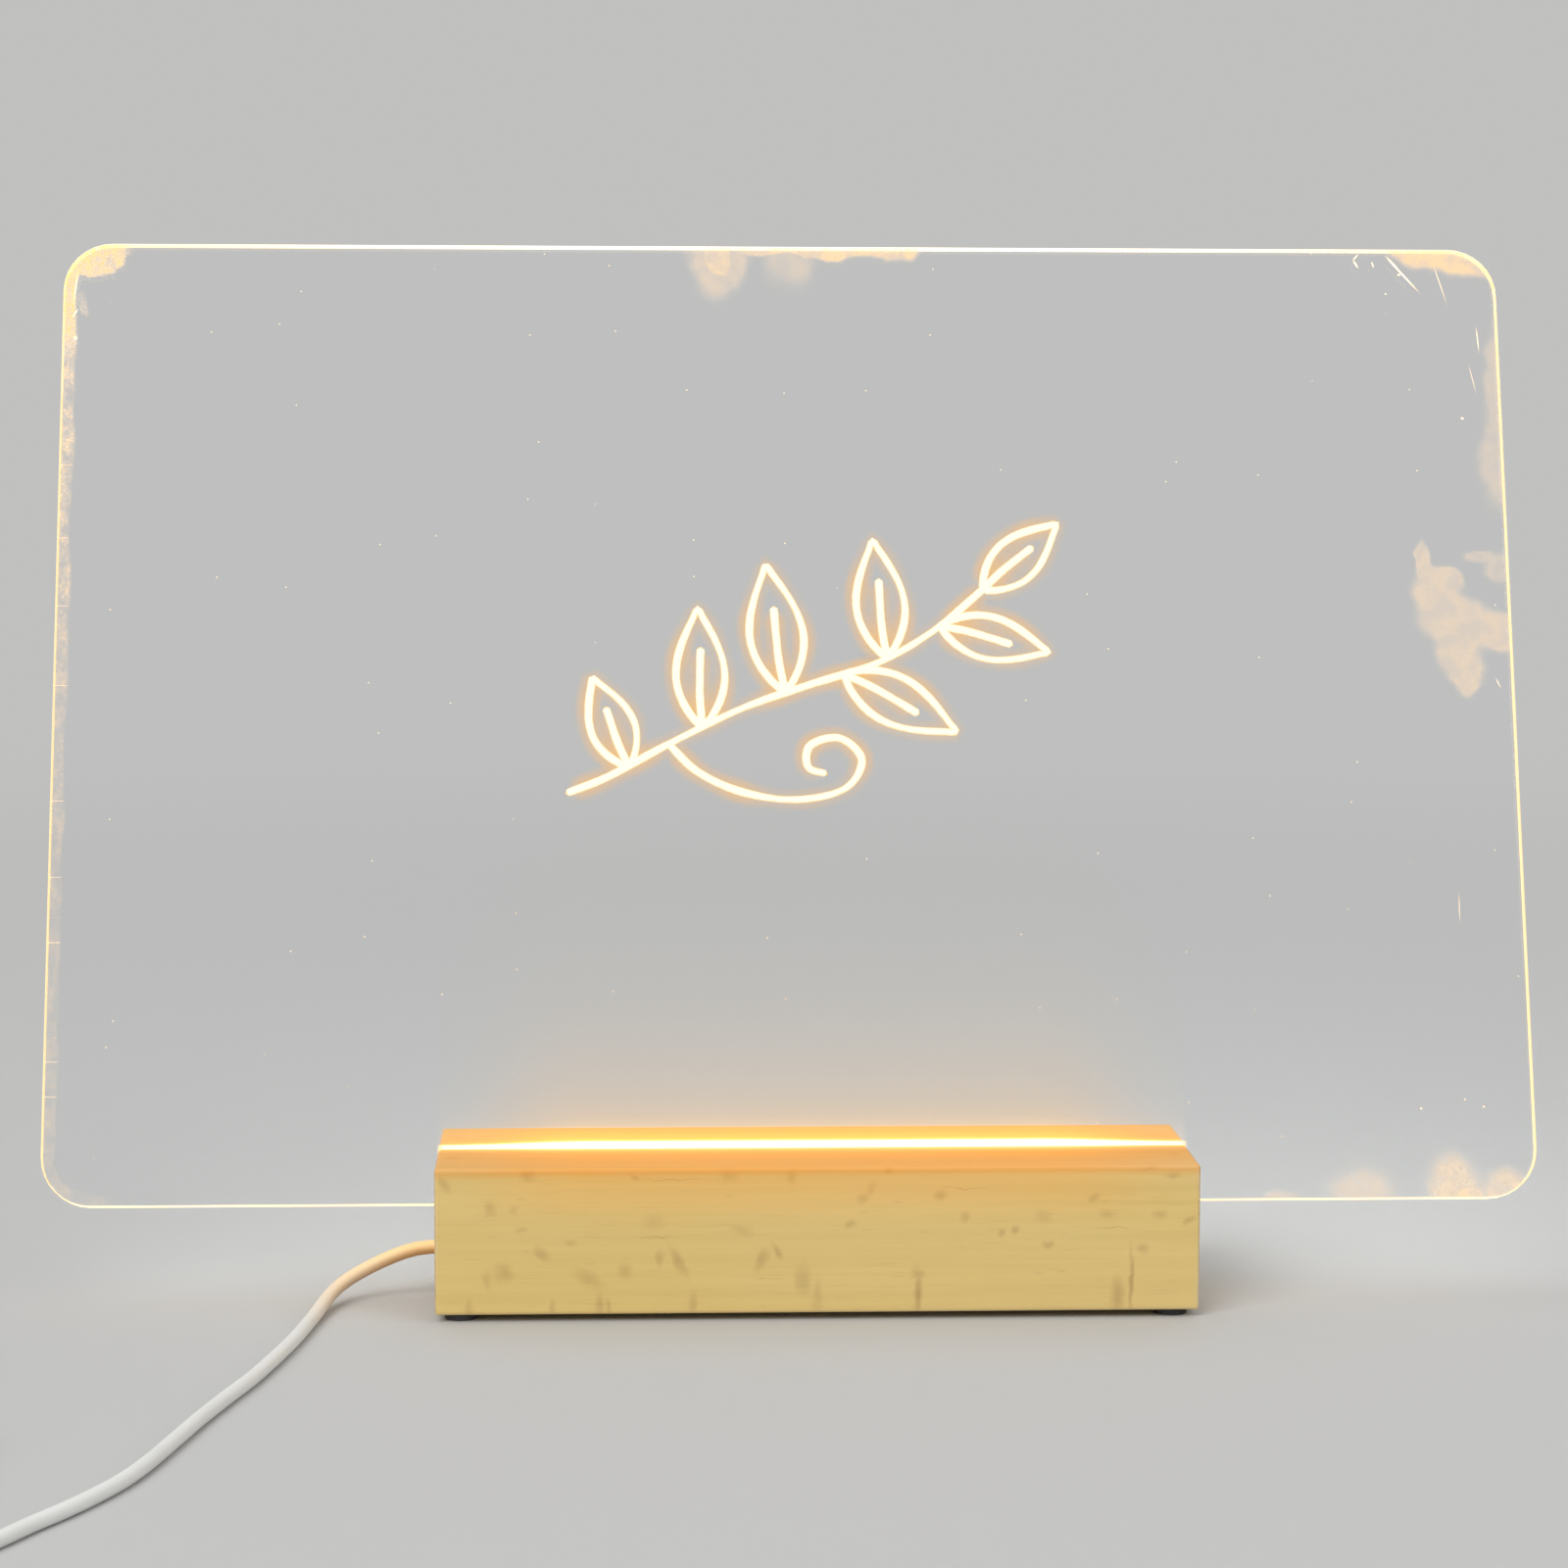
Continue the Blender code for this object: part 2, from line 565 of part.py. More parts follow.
def add_lamps():
    middle = (BLOCK_OFFSET, LAMP_LINE, STRIP_TOP - STRIP_THICKNESS / 2)
    strip = box("lamp_strip", (STRIP_LENGTH, STRIP_WIDTH, STRIP_THICKNESS), middle, STRIP_WHITE)
    screw = screw_mesh(
        STRIP_SCREW_LENGTH, WOOD_SCREW_SHANK, WOOD_SCREW_HEAD, WOOD_SCREW_HEAD_HEIGHT, "strip_screw"
    )
    head_level = STRIP_BOTTOM - GAP - WOOD_SCREW_HEAD_HEIGHT
    for k, (x, y) in enumerate(strip_screw_places()):
        length = STRIP_THICKNESS + 2 * OVERRUN
        cut(strip, drum(f"strip_hole_{k}", SCREW_HOLE, length, (x, y, middle[2]), sides=16))
        put(f"strip_screw_{k + 1}", screw, (x, y, head_level), STEEL, turn=(math.pi, 0, 0))

    pitch = LIT_LENGTH / LAMPS
    first = BLOCK_OFFSET - LIT_LENGTH / 2 + pitch / 2
    level = STRIP_TOP + GAP
    for k in range(LAMPS):
        place = (first + k * pitch, LAMP_LINE, level + LAMP_HEIGHT / 2)
        lamp = box(f"led_{k + 1:02d}", (LAMP_LENGTH, LAMP_WIDTH, LAMP_HEIGHT), place, LAMP_GLOW)
        round_edges(lamp, LAMP_EDGE, 1)
    every = LAMPS // RESISTORS
    for k in range(RESISTORS):
        place = (first + (k * every + every / 2 - 0.5) * pitch, LAMP_LINE, level + RESISTOR_HEIGHT / 2)
        size = (RESISTOR_LENGTH, RESISTOR_WIDTH, RESISTOR_HEIGHT)
        box(f"resistor_{k + 1}", size, place, CHIP_BLACK)


def add_wiring():
    """The cable tie inside the end wall, and the two wires from the jacket's end up to the strip."""
    wall = LEFT_END + END_WALL
    x = wall + GAP + BAND_WIDTH / 2
    place = (x, CORD_LINE, CORD_LEVEL)
    band = drum("cable_tie", 2 * BAND_RADIUS, BAND_WIDTH, place, NYLON, axis="X", sides=20)
    head = (BAND_WIDTH, BAND_HEAD, BAND_HEAD)
    head_line = CORD_LINE - BAND_RADIUS - BAND_HEAD / 2 + BAND_THICKNESS / 2
    join(band, box("cable_tie_head", head, (x, head_line, CORD_LEVEL)))
    cut(band, drum("cable_tie_bore", CORD_HOLE, BAND_WIDTH + 2 * OVERRUN, place, axis="X", sides=20))

    start = wall + CORD_INSIDE + GAP
    pad = start + WIRE_REACH
    for name, side, look in (("wire_red", 1, RED_PVC), ("wire_black", -1, BLACK_PVC)):
        y = CORD_LINE + side * WIRE_SPACING / 2
        pad_line = y - WIRE_SHIFT
        top = STRIP_BOTTOM - GAP
        low = CORD_LEVEL
        route = [
            (start, y, low),
            (start + WIRE_REACH * 0.35, y, low),
            (start + WIRE_REACH * 0.8, (y + pad_line) / 2, low + (top - low) * 0.2),
            (pad, pad_line, low + (top - low) * 0.6),
            (pad, pad_line, top),
        ]
        tube(name, smooth_path(route, WIRE_DIAMETER), WIRE_DIAMETER, look, roundness=1)


def lead_route():
    """From the end of the jacket inside the base, out of its end and over the table to the switch."""
    mouth = Vector((LEFT_END, CORD_LINE, 0))
    lying = CORD_DIAMETER / 2
    start = (LEFT_END + END_WALL + CORD_INSIDE, CORD_LINE, CORD_LEVEL)
    route = [start, (LEFT_END + END_WALL, CORD_LINE, CORD_LEVEL), (LEFT_END, CORD_LINE, CORD_LEVEL)]
    for across, forward, lift in LEAD_ROUTE:
        route.append((mouth.x + across * MM, mouth.y + forward * MM, lying + lift * MM))
    x, y, level = switch_start()
    inside = SWITCH_WALL + SWITCH_CORD_INSIDE
    route.append((x, y, level))
    route.append((x, y + (NECK_LENGTH + inside) / 2, level))
    route.append((x, y + NECK_LENGTH + inside, level))
    return route


def switch_start():
    """Where the lead goes into the switch's first neck."""
    across, forward = LEAD_END
    return LEFT_END + across * MM, CORD_LINE + forward * MM, SWITCH_SPLIT


def switch_half(name, low, high, frame):
    """One case of the switch: the rounded body and its necks between two heights, with the outside whole."""
    middle = (0, 0, SWITCH_HEIGHT / 2)
    case = box(name, (SWITCH_LENGTH, SWITCH_WIDTH, SWITCH_HEIGHT), middle, WHITE_ABS, frame)
    round_edges(case, SWITCH_EDGE, 3)
    for side in (-1, 1):
        x, length = span(SWITCH_LENGTH / 2 - SWITCH_WALL / 2, SWITCH_LENGTH / 2 + NECK_LENGTH)
        near, far = (NECK_DIAMETER, NECK_END_DIAMETER)[::side]
        place = (side * x, 0, SWITCH_SPLIT)
        join(case, drum(f"{name}_neck_{side}", near, length, place, None, frame, "X", top=far, sides=20))
    z, height = span(low, high)
    size = (SWITCH_LENGTH + 2 * NECK_LENGTH + 2 * OVERRUN, SWITCH_WIDTH + 2 * OVERRUN, height)
    combine(case, box(name + "_part", size, (0, 0, z), None, frame), "INTERSECT")
    return case


def add_switch_cases(frame):
    lower = switch_half("switch_lower_case", -OVERRUN, SWITCH_SPLIT - GAP / 2, frame)
    upper = switch_half("switch_upper_case", SWITCH_SPLIT + GAP / 2, SWITCH_HEIGHT + OVERRUN, frame)
    inner = (SWITCH_LENGTH - 2 * SWITCH_WALL, SWITCH_WIDTH - 2 * SWITCH_WALL, SWITCH_HEIGHT - 2 * SWITCH_WALL)
    hollow = box("switch_hollow", inner, (0, 0, SWITCH_HEIGHT / 2), None, frame)
    bore = SWITCH_LENGTH + 2 * NECK_LENGTH + 2 * OVERRUN
    cord = drum("switch_cord_bore", CORD_HOLE, bore, (0, 0, SWITCH_SPLIT), None, frame, "X", sides=16)
    cut(lower, hollow, cord)
    cut(upper, hollow, cord)
    z, length = span(SWITCH_HEIGHT - 2 * SWITCH_WALL, SWITCH_HEIGHT + OVERRUN)
    cut(upper, drum("button_hole", BUTTON_DIAMETER + 2 * GAP, length, (0, 0, z), None, frame))

    ring_bottom = SWITCH_HEIGHT - SWITCH_WALL - 2 * GAP - FLANGE_THICKNESS - RING_THICKNESS
    contact_top = ring_bottom - BUTTON_TRAVEL - GAP
    contact_bottom = contact_top - STRIP_CONTACT_THICKNESS
    seat = contact_bottom - GAP
    sunk = SWITCH_WALL / 2
    z, height = span(sunk, seat)
    join(lower, drum("spring_post", POST_DIAMETER, height, (0, 0, z), None, frame, sides=20))
    for side in (-1, 1):
        size = (RIB_THICKNESS, STRIP_CONTACT_WIDTH, height)
        join(lower, box(f"contact_rib_{side}", size, (side * RIB_PLACE, 0, z), None, frame))
    add_switch_screws(lower, upper, frame)
    add_switch_contacts(contact_bottom, frame)
    return seat


def add_switch_screws(lower, upper, frame):
    """Two screws from below, each through a boss of the lower case into a boss of the upper one."""
    screw = screw_mesh(
        SWITCH_SCREW_LENGTH, WOOD_SCREW_SHANK, WOOD_SCREW_HEAD, WOOD_SCREW_HEAD_HEIGHT, "switch_screw"
    )
    for k, side in enumerate((-1, 1)):
        x, y = side * BOSS_ALONG, -BOSS_SIDE
        z, length = span(SWITCH_WALL / 2, SWITCH_SPLIT - GAP / 2)
        join(lower, drum(f"lower_boss_{k}", BOSS_DIAMETER, length, (x, y, z), None, frame, sides=16))
        z, length = span(SWITCH_SPLIT + GAP / 2, SWITCH_HEIGHT - SWITCH_WALL / 2)
        join(upper, drum(f"upper_boss_{k}", UPPER_BOSS_DIAMETER, length, (x, y, z), None, frame, sides=16))
        z, length = span(-OVERRUN, SWITCH_SCREW_LENGTH + GAP + WOOD_SCREW_HEAD_HEIGHT)
        hole = drum(f"switch_screw_hole_{k}", SCREW_HOLE, length, (x, y, z), None, frame, sides=16)
        wide = WOOD_SCREW_HEAD + 2 * GAP
        z, length = span(-OVERRUN, WOOD_SCREW_HEAD_HEIGHT + 2 * GAP)
        cut(lower, hole, drum(f"switch_head_hole_{k}", wide, length, (x, y, z), None, frame, sides=16))
        cut(upper, hole)
        put(f"switch_screw_{k + 1}", screw, (x, y, GAP), STEEL, frame, (math.pi, 0, 0))


def add_switch_contacts(level, frame):
    x, length = span(STRIP_CONTACT_START, STRIP_CONTACT_END)
    size = (length, STRIP_CONTACT_WIDTH, STRIP_CONTACT_THICKNESS)
    middle = level + STRIP_CONTACT_THICKNESS / 2
    reach = SWITCH_LENGTH / 2 - SWITCH_WALL - SWITCH_CORD_INSIDE - GAP
    side = CORD_DIAMETER / 2 - WIRE_DIAMETER / 2
    wire, wire_length = span(STRIP_CONTACT_END + GAP, reach)
    for name, way in (("in", -1), ("out", 1)):
        box(f"switch_contact_{name}", size, (way * x, 0, middle), BRASS, frame)
        place = (way * wire, -side, middle)
        drum(f"switch_wire_{name}", WIRE_DIAMETER, wire_length, place, RED_PVC, frame, "X", sides=10)
    low = SWITCH_WALL + GAP + WIRE_DIAMETER / 2
    route = [
        (-reach, side, SWITCH_SPLIT),
        (-reach + CORD_DIAMETER / 2, side, SWITCH_SPLIT),
        (-reach + 2 * CORD_DIAMETER, SWITCH_WIRE_SIDE, low),
        (0, SWITCH_WIRE_SIDE, low),
        (reach - 2 * CORD_DIAMETER, SWITCH_WIRE_SIDE, low),
        (reach - CORD_DIAMETER / 2, side, SWITCH_SPLIT),
        (reach, side, SWITCH_SPLIT),
    ]
    tube("switch_through_wire", smooth_path(route, 1.5 * WIRE_DIAMETER), WIRE_DIAMETER, BLACK_PVC, frame, 1)


def add_button(seat, frame):
    """The button with its contact ring, and the spring between the button and the post."""
    button = frame_at("button_slide", (0, 0, 0))
    button.parent = frame
    flange_top = SWITCH_HEIGHT - SWITCH_WALL - GAP
    flange_bottom = flange_top - FLANGE_THICKNESS
    cap_top = SWITCH_HEIGHT + BUTTON_PROUD
    profile = [
        (0, cap_top),
        (BUTTON_DIAMETER / 2 - BUTTON_EDGE, cap_top),
        (BUTTON_DIAMETER / 2, cap_top - BUTTON_EDGE),
        (BUTTON_DIAMETER / 2, flange_top),
        (FLANGE_DIAMETER / 2, flange_top),
        (FLANGE_DIAMETER / 2, flange_bottom),
        (POCKET_DIAMETER / 2, flange_bottom),
        (POCKET_DIAMETER / 2, cap_top - BUTTON_ROOF),
        (0, cap_top - BUTTON_ROOF),
    ]
    put("switch_button", turned("switch_button", profile, 28), (0, 0, 0), WHITE_ABS, button)
    ring_top = flange_bottom - GAP
    circles = []
    for diameter in (RING_DIAMETER, RING_BORE):
        turn = [k * math.tau / 24 for k in range(24)]
        circles.append([Vector((math.cos(a), math.sin(a))) * (diameter / 2) for a in turn])
    flat("switch_contact_ring", circles, RING_THICKNESS, (0, 0, ring_top - RING_THICKNESS / 2), BRASS, button)

    low = seat + GAP + SPRING_WIRE / 2
    high = cap_top - BUTTON_ROOF - GAP - SPRING_WIRE / 2
    steps = 12
    points = []
    for k in range(SPRING_TURNS * steps + 1):
        angle = k * math.tau / steps
        rise = low + (high - low) * k / (SPRING_TURNS * steps)
        points.append((SPRING_DIAMETER / 2 * math.cos(angle), SPRING_DIAMETER / 2 * math.sin(angle), rise))
    tube("switch_spring", points, SPRING_WIRE, SPRING_STEEL, frame, 0)


def add_switch():
    x, y, _ = switch_start()
    middle = (x, y + NECK_LENGTH + SWITCH_LENGTH / 2, 0)
    frame = frame_at("switch_middle", middle, (0, 0, math.pi / 2))
    seat = add_switch_cases(frame)
    add_button(seat, frame)
    return Vector(middle)


def least_gap(points, diameter):
    """The least gap of a coiled tube to itself, past the points that are near along it."""
    near = POINTS_IN_TURN // 2
    dots = [Vector(point) for point in points]
    least = min(
        (a - b).length for i, a in enumerate(dots) for b in dots[i + near :]
    )
    return least - diameter


def coil_points(centre, low):
    """One tube that spirals in on the table, climbs a layer where the spiral reverses, and spirals out."""
    outer = COIL_MIDDLE_DIAMETER / 2 + TURN_PITCH * TURNS_IN_LAYER / 2
    inner = outer - TURN_PITCH * TURNS_IN_LAYER
    lower = TURNS_IN_LAYER * math.tau
    total = 2 * lower + math.pi
    steps = round(total / math.tau * POINTS_IN_TURN)
    points = [(centre.x + outer, centre.y - COIL_RUN, low)]
    for k in range(steps + 1):
        angle = total * k / steps
        past = angle - lower
        rate = TURN_PITCH / math.tau
        if past < 0:
            radius, climb = outer - rate * angle, 0.0
        elif past < math.pi:
            radius = inner - rate * (past - past**2 / math.pi)
            climb = (1 - math.cos(past)) / 2
        else:
            radius, climb = inner + rate * (past - math.pi), 1.0
        height = low + TURN_PITCH * climb
        points.append((centre.x + radius * math.cos(angle), centre.y + radius * math.sin(angle), height))
    x, y, height = points[-1]
    points.append((x, y - COIL_RUN, height))
    return points


def add_coil(start):
    """The lead from the switch to its coil, the coil and its tie. It returns where the coil ends."""
    lying = CORD_DIAMETER / 2
    low = lying + TIE_THICKNESS + TIE_ROOM
    outer = COIL_MIDDLE_DIAMETER / 2 + TURN_PITCH * TURNS_IN_LAYER / 2
    x, y, level = start
    inside = NECK_LENGTH + SWITCH_WALL + SWITCH_CORD_INSIDE
    centre = Vector((x - outer, y + LINK_LENGTH + GAP + COIL_RUN, 0))
    link = [
        (x, y - inside, level),
        (x, y - inside / 2, level),
        (x, y, level),
        (x, y + LINK_LENGTH * 0.3, level + (low - level) * 0.3),
        (x, y + LINK_LENGTH * 0.7, low + (level - low) * 0.1),
        (x, y + LINK_LENGTH, low),
    ]
    tube("cord_link", smooth_path(link, CORD_STEP), CORD_DIAMETER, WHITE_PVC)
    points = coil_points(centre, low)
    print(f"coil: least gap {least_gap(points, CORD_DIAMETER) / MM:.2f} mm, {path_length(points):.3f} m")
    tube("cord_coil", points, CORD_DIAMETER, WHITE_PVC, roundness=1)

    reach_in = outer - TURN_PITCH * (TURNS_IN_LAYER - 0.25)
    reach_out = outer - TURN_PITCH * 0.75
    middle, width = span(reach_in - lying, reach_out + lying)
    z, height = span(low - lying, low + TURN_PITCH + lying)
    loose = 2 * TIE_ROOM
    hole = outline(width + loose, height + loose, TIE_CORNER, 4)
    rim = outline(
        width + loose + 2 * TIE_THICKNESS, height + loose + 2 * TIE_THICKNESS, TIE_CORNER + TIE_THICKNESS, 4
    )
    place = (centre.x, centre.y - middle, z)
    upright = (math.pi / 2, 0, math.pi / 2)
    flat("coil_tie", [rim, hole], TIE_WIDTH, place, BLACK_PVC, None, upright)
    return Vector(points[-1])


def add_plug(start):
    """The lead from the coil to the plug, and the plug, lying flat beside the coil."""
    axis = PLUG_HEIGHT / 2
    x, y, level = start
    y -= GAP
    tail = [
        (x, y, level),
        (x, y - TAIL_LENGTH * 0.2, level),
        (x, y - TAIL_LENGTH * 0.5, (level + axis) / 2),
        (x, y - TAIL_LENGTH * 0.8, axis),
        (x, y - TAIL_LENGTH, axis),
    ]
    tube("cord_tail", smooth_path(tail, CORD_DIAMETER), CORD_DIAMETER, WHITE_PVC)

    frame = frame_at("plug_end", (x, y - TAIL_LENGTH - GAP, axis), (0, 0, -math.pi / 2))
    front = RELIEF_LENGTH + PLUG_LENGTH
    along, length = span(RELIEF_LENGTH, front)
    body = box("plug_body", (length, PLUG_WIDTH, PLUG_HEIGHT), (along, 0, 0), WHITE_PVC, frame)
    round_edges(body, PLUG_EDGE, 3)
    along, length = span(0, RELIEF_LENGTH + PLUG_EDGE)
    wide = RELIEF_DIAMETER
    join(body, drum("plug_relief", RELIEF_END_DIAMETER, length, (along, 0, 0), None, frame, "X", wide, 20))
    along, length = span(front - SHELL_SEATED - GAP, front + OVERRUN)
    pocket = (length, SHELL_WIDTH + 2 * GAP, SHELL_HEIGHT + 2 * GAP)
    cut(body, box("plug_pocket", pocket, (along, 0, 0), None, frame))

    back = front - SHELL_SEATED
    mouth = back + SHELL_LENGTH
    rim = outline(SHELL_WIDTH, SHELL_HEIGHT, SHELL_CORNER, 3)
    bore = outline(SHELL_WIDTH - 2 * SHELL_WALL, SHELL_HEIGHT - 2 * SHELL_WALL, SHELL_CORNER - SHELL_WALL, 3)
    place = ((back + mouth) / 2, 0, 0)
    shell = flat("plug_shell", [rim, bore], SHELL_LENGTH, place, NICKEL, frame, (math.pi / 2, 0, math.pi / 2))
    for side in (-1, 1):
        size = (WINDOW_SIZE, WINDOW_SIZE, SHELL_HEIGHT + 2 * OVERRUN)
        spot = (mouth - WINDOW_FROM_MOUTH, side * WINDOW_SPACING / 2, 0)
        cut(shell, box(f"shell_window_{side}", size, spot, None, frame))
    add_plug_contacts(back, mouth, frame)


def add_plug_contacts(back, mouth, frame):
    floor = SHELL_WALL + GAP - SHELL_HEIGHT / 2
    along, length = span(back, mouth - TONGUE_SHORT)
    place = (along, 0, floor + TONGUE_THICKNESS / 2)
    box("plug_tongue", (length, TONGUE_WIDTH, TONGUE_THICKNESS), place, WHITE_ABS, frame)
    level = floor + TONGUE_THICKNESS + GAP + CONTACT_THICKNESS / 2
    along = mouth - 2 * TONGUE_SHORT - CONTACT_LENGTH / 2
    for k, side in enumerate(CONTACT_PITCHES):
        size = (CONTACT_LENGTH, CONTACT_WIDTH, CONTACT_THICKNESS)
        box(f"plug_contact_{k + 1}", size, (along, side, level), BRASS, frame)


lean_frame = add_board()
add_block(lean_frame)
add_plate()
add_feet()
add_lamps()
add_wiring()
lead = smooth_path(lead_route(), CORD_STEP)
tube("cord_lead", lead, CORD_DIAMETER, WHITE_PVC)
print(f"lead: {path_length(lead):.3f} m")
switch_middle = add_switch()
link_start = switch_middle + Vector((0, SWITCH_LENGTH / 2 + NECK_LENGTH, SWITCH_SPLIT))
add_plug(add_coil(link_start))
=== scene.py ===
"""The looks of a lit writing board: its clear sheet, wooden base, drawn sprig and white lead."""

import math

import bmesh
import bpy
from mathutils import Matrix, Vector


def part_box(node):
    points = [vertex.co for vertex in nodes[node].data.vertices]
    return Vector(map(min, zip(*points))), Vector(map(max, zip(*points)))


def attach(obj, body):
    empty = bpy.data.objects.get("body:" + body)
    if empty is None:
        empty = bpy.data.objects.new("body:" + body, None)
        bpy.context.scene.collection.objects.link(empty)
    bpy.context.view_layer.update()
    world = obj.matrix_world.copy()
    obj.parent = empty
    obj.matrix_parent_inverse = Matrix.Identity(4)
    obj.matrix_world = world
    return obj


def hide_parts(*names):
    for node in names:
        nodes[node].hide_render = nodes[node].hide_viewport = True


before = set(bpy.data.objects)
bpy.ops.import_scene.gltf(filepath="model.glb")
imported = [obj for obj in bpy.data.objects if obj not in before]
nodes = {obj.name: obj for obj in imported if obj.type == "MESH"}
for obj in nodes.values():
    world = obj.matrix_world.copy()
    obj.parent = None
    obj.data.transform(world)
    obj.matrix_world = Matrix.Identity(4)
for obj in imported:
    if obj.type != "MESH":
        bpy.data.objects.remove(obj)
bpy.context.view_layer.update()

MM = 0.001

# Sizes that the CAD part has too
LEAN = math.radians(17)
SHEET_WIDTH = 300 * MM
SHEET_HEIGHT = 200 * MM
SHEET_CORNER = 10 * MM
SHEET_MIDDLE = 100.3 * MM  # up the sheet from the groove's floor
SHEET_THICKNESS = 3 * MM
SHEET_FOOT = Vector((0, -20.726 * MM, 19.2 * MM))  # the middle of the groove's floor
WOOD_LINE = 11.36 * MM  # where the sheet's front comes out of the wood
GROOVE_HALF = 1.8 * MM
CORD_DIAMETER = 2.8 * MM

# Places read from the CAD part
WOOD_LOW, WOOD_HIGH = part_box("base_block")
WOOD_MIDDLE = (WOOD_LOW.x + WOOD_HIGH.x) / 2
WOOD_LENGTH = WOOD_HIGH.x - WOOD_LOW.x

# Camera, at the photograph's viewpoint
CAMERA_PLACE = (-37.68 * MM, -786.71 * MM, 182.54 * MM)
CAMERA_DOWN = math.radians(5.863)
CAMERA_RIGHT = math.radians(2.626)
CAMERA_ROLL = math.radians(0.172)
CAMERA_LENS = 89.42
CAMERA_SENSOR = 36

# Colours
AMBER = (1.0, 0.55, 0.16)
PALE_GREY = (0.53, 0.53, 0.525)
CLEAR = (0.975, 0.985, 0.985)
# Colour of the smudge film on the sheet, also used as painted lamplight where the sheet is tinted by its lit
# rim and the lamps' haze
FILM_AND_LAMPLIT_AMBER = (1.0, 0.65, 0.25)
LAMPLIT_WOOD = (0.8, 0.27, 0.0)
STRIP_WHITE = (0.82, 0.83, 0.8)
WHITE_PVC = ((0.78, 0.78, 0.76), (0.75, 0.75, 0.725))
GLOW_STOPS = (
    (0.0, (0, 0, 0)),
    (0.12, (0.14, 0.065, 0.01)),
    (0.35, (0.55, 0.3, 0.06)),
    (0.65, (1.0, 0.62, 0.18)),
    (1.0, (1.0, 0.93, 0.7)),
)

# Smudges on the sheet: how soft and how strong each one is, and the ovals that run together in
# it, by their middle across and up the sheet, half their width and height, and their turn (mm and degrees)
SMUDGES = (
    (0.5, 0.5, (
        (132.2, 133.2, 1.5, 4.6, 6),
        (134.0, 126.4, 5.0, 5.2, 0),
        (137.6, 129.0, 3.2, 2.0, -20),
        (137.4, 121.0, 7.4, 4.6, 12),
        (138.6, 112.8, 5.2, 6.6, 10),
        (140.2, 108.0, 3.9, 4.0, 0),
        (147.5, 117.4, 5.0, 4.2, 0),
    )),
    (0.8, 0.34, ((148.4, 131.0, 3.2, 3.6, 0), (143.6, 133.4, 3.4, 1.6, 10))),
    (0.9, 0.34, ((149.5, 171, 3.2, 13, 0), (148.5, 154, 3.8, 11, 0))),
    (0.3, 0.85, ((141, 200.9, 16.4, 6.4, -8),)),
    (0.95, 0.6, ((132.4, 2.4, 5.6, 7.4, 0), (143, 2.5, 5.5, 3.6, 20))),
    (0.8, 0.75, ((135.6, 0.6, 3.4, 2.4, 0),)),
    (0.95, 0.42, ((114.2, 0.5, 8.0, 6.6, 0), (98.4, 0, 4.2, 2.4, 0))),
    (0.1, 1.0, ((-143.6, 199.0, 6.6, 6.4, 0),)),
    (0.6, 0.35, ((-145.7, 187.4, 1.4, 3.2, 0),)),
    (0.6, 0.45, ((-14.2, 197.6, 6.2, 9.0, 0), (-14.6, 200.5, 6.4, 4.0, 0))),
    (0.8, 0.75, ((-14.4, 199.0, 4.2, 6.0, 8),)),
    (0.9, 0.35, ((0.8, 199, 6.2, 8.4, 0),)),
    (0.6, 0.85, ((4, 200, 24, 2.0, 0), (9.8, 199.4, 4.0, 2.8, 0), (24, 199.6, 4.4, 2.6, 0))),
)

# Scratches and specks of dust on the sheet, by their middle, half their length and width, turn and strength
SCRATCHES = (
    (130.3, 194.7, 6.4, 0.26, -49, 1),
    (128.4, 197, 3, 0.34, -50, 1),
    (120.4, 198.5, 1.2, 0.22, 49, 0.9),
    (120.4, 197, 1.3, 0.28, -60, 1),
    (124, 196.9, 0.9, 0.22, -75, 0.9),
    (129.5, 194.7, 0.5, 0.3, 0, 0.9),
    (138, 193.2, 6.8, 0.16, -74, 0.6),
    (145.6, 180.5, 3.6, 0.15, -86, 0.9),
    (144.1, 172, 4.3, 0.14, -78, 0.5),
    (146.6, 106.5, 1.6, 0.14, -65, 0.7),
    (136.4, 59.5, 4.2, 0.14, 89, 0.5),
    (-147.5, 190.6, 5.6, 0.2, 84, 1),
    (-147.5, 185.1, 1.5, 0.24, 61, 1),
    (-147.3, 179.8, 0.6, 0.6, 0, 1),
    (126.5, 190.5, 0.25, 0.25, 0, 0.9),
    (141.6, 163.3, 0.45, 0.35, -20, 0.9),
    (126.8, 18.4, 0.3, 0.3, 0, 0.8),
    (135.8, 20.2, 0.25, 0.25, 0, 0.8),
    (139.6, 18.7, 0.3, 0.3, 0, 0.8),
)

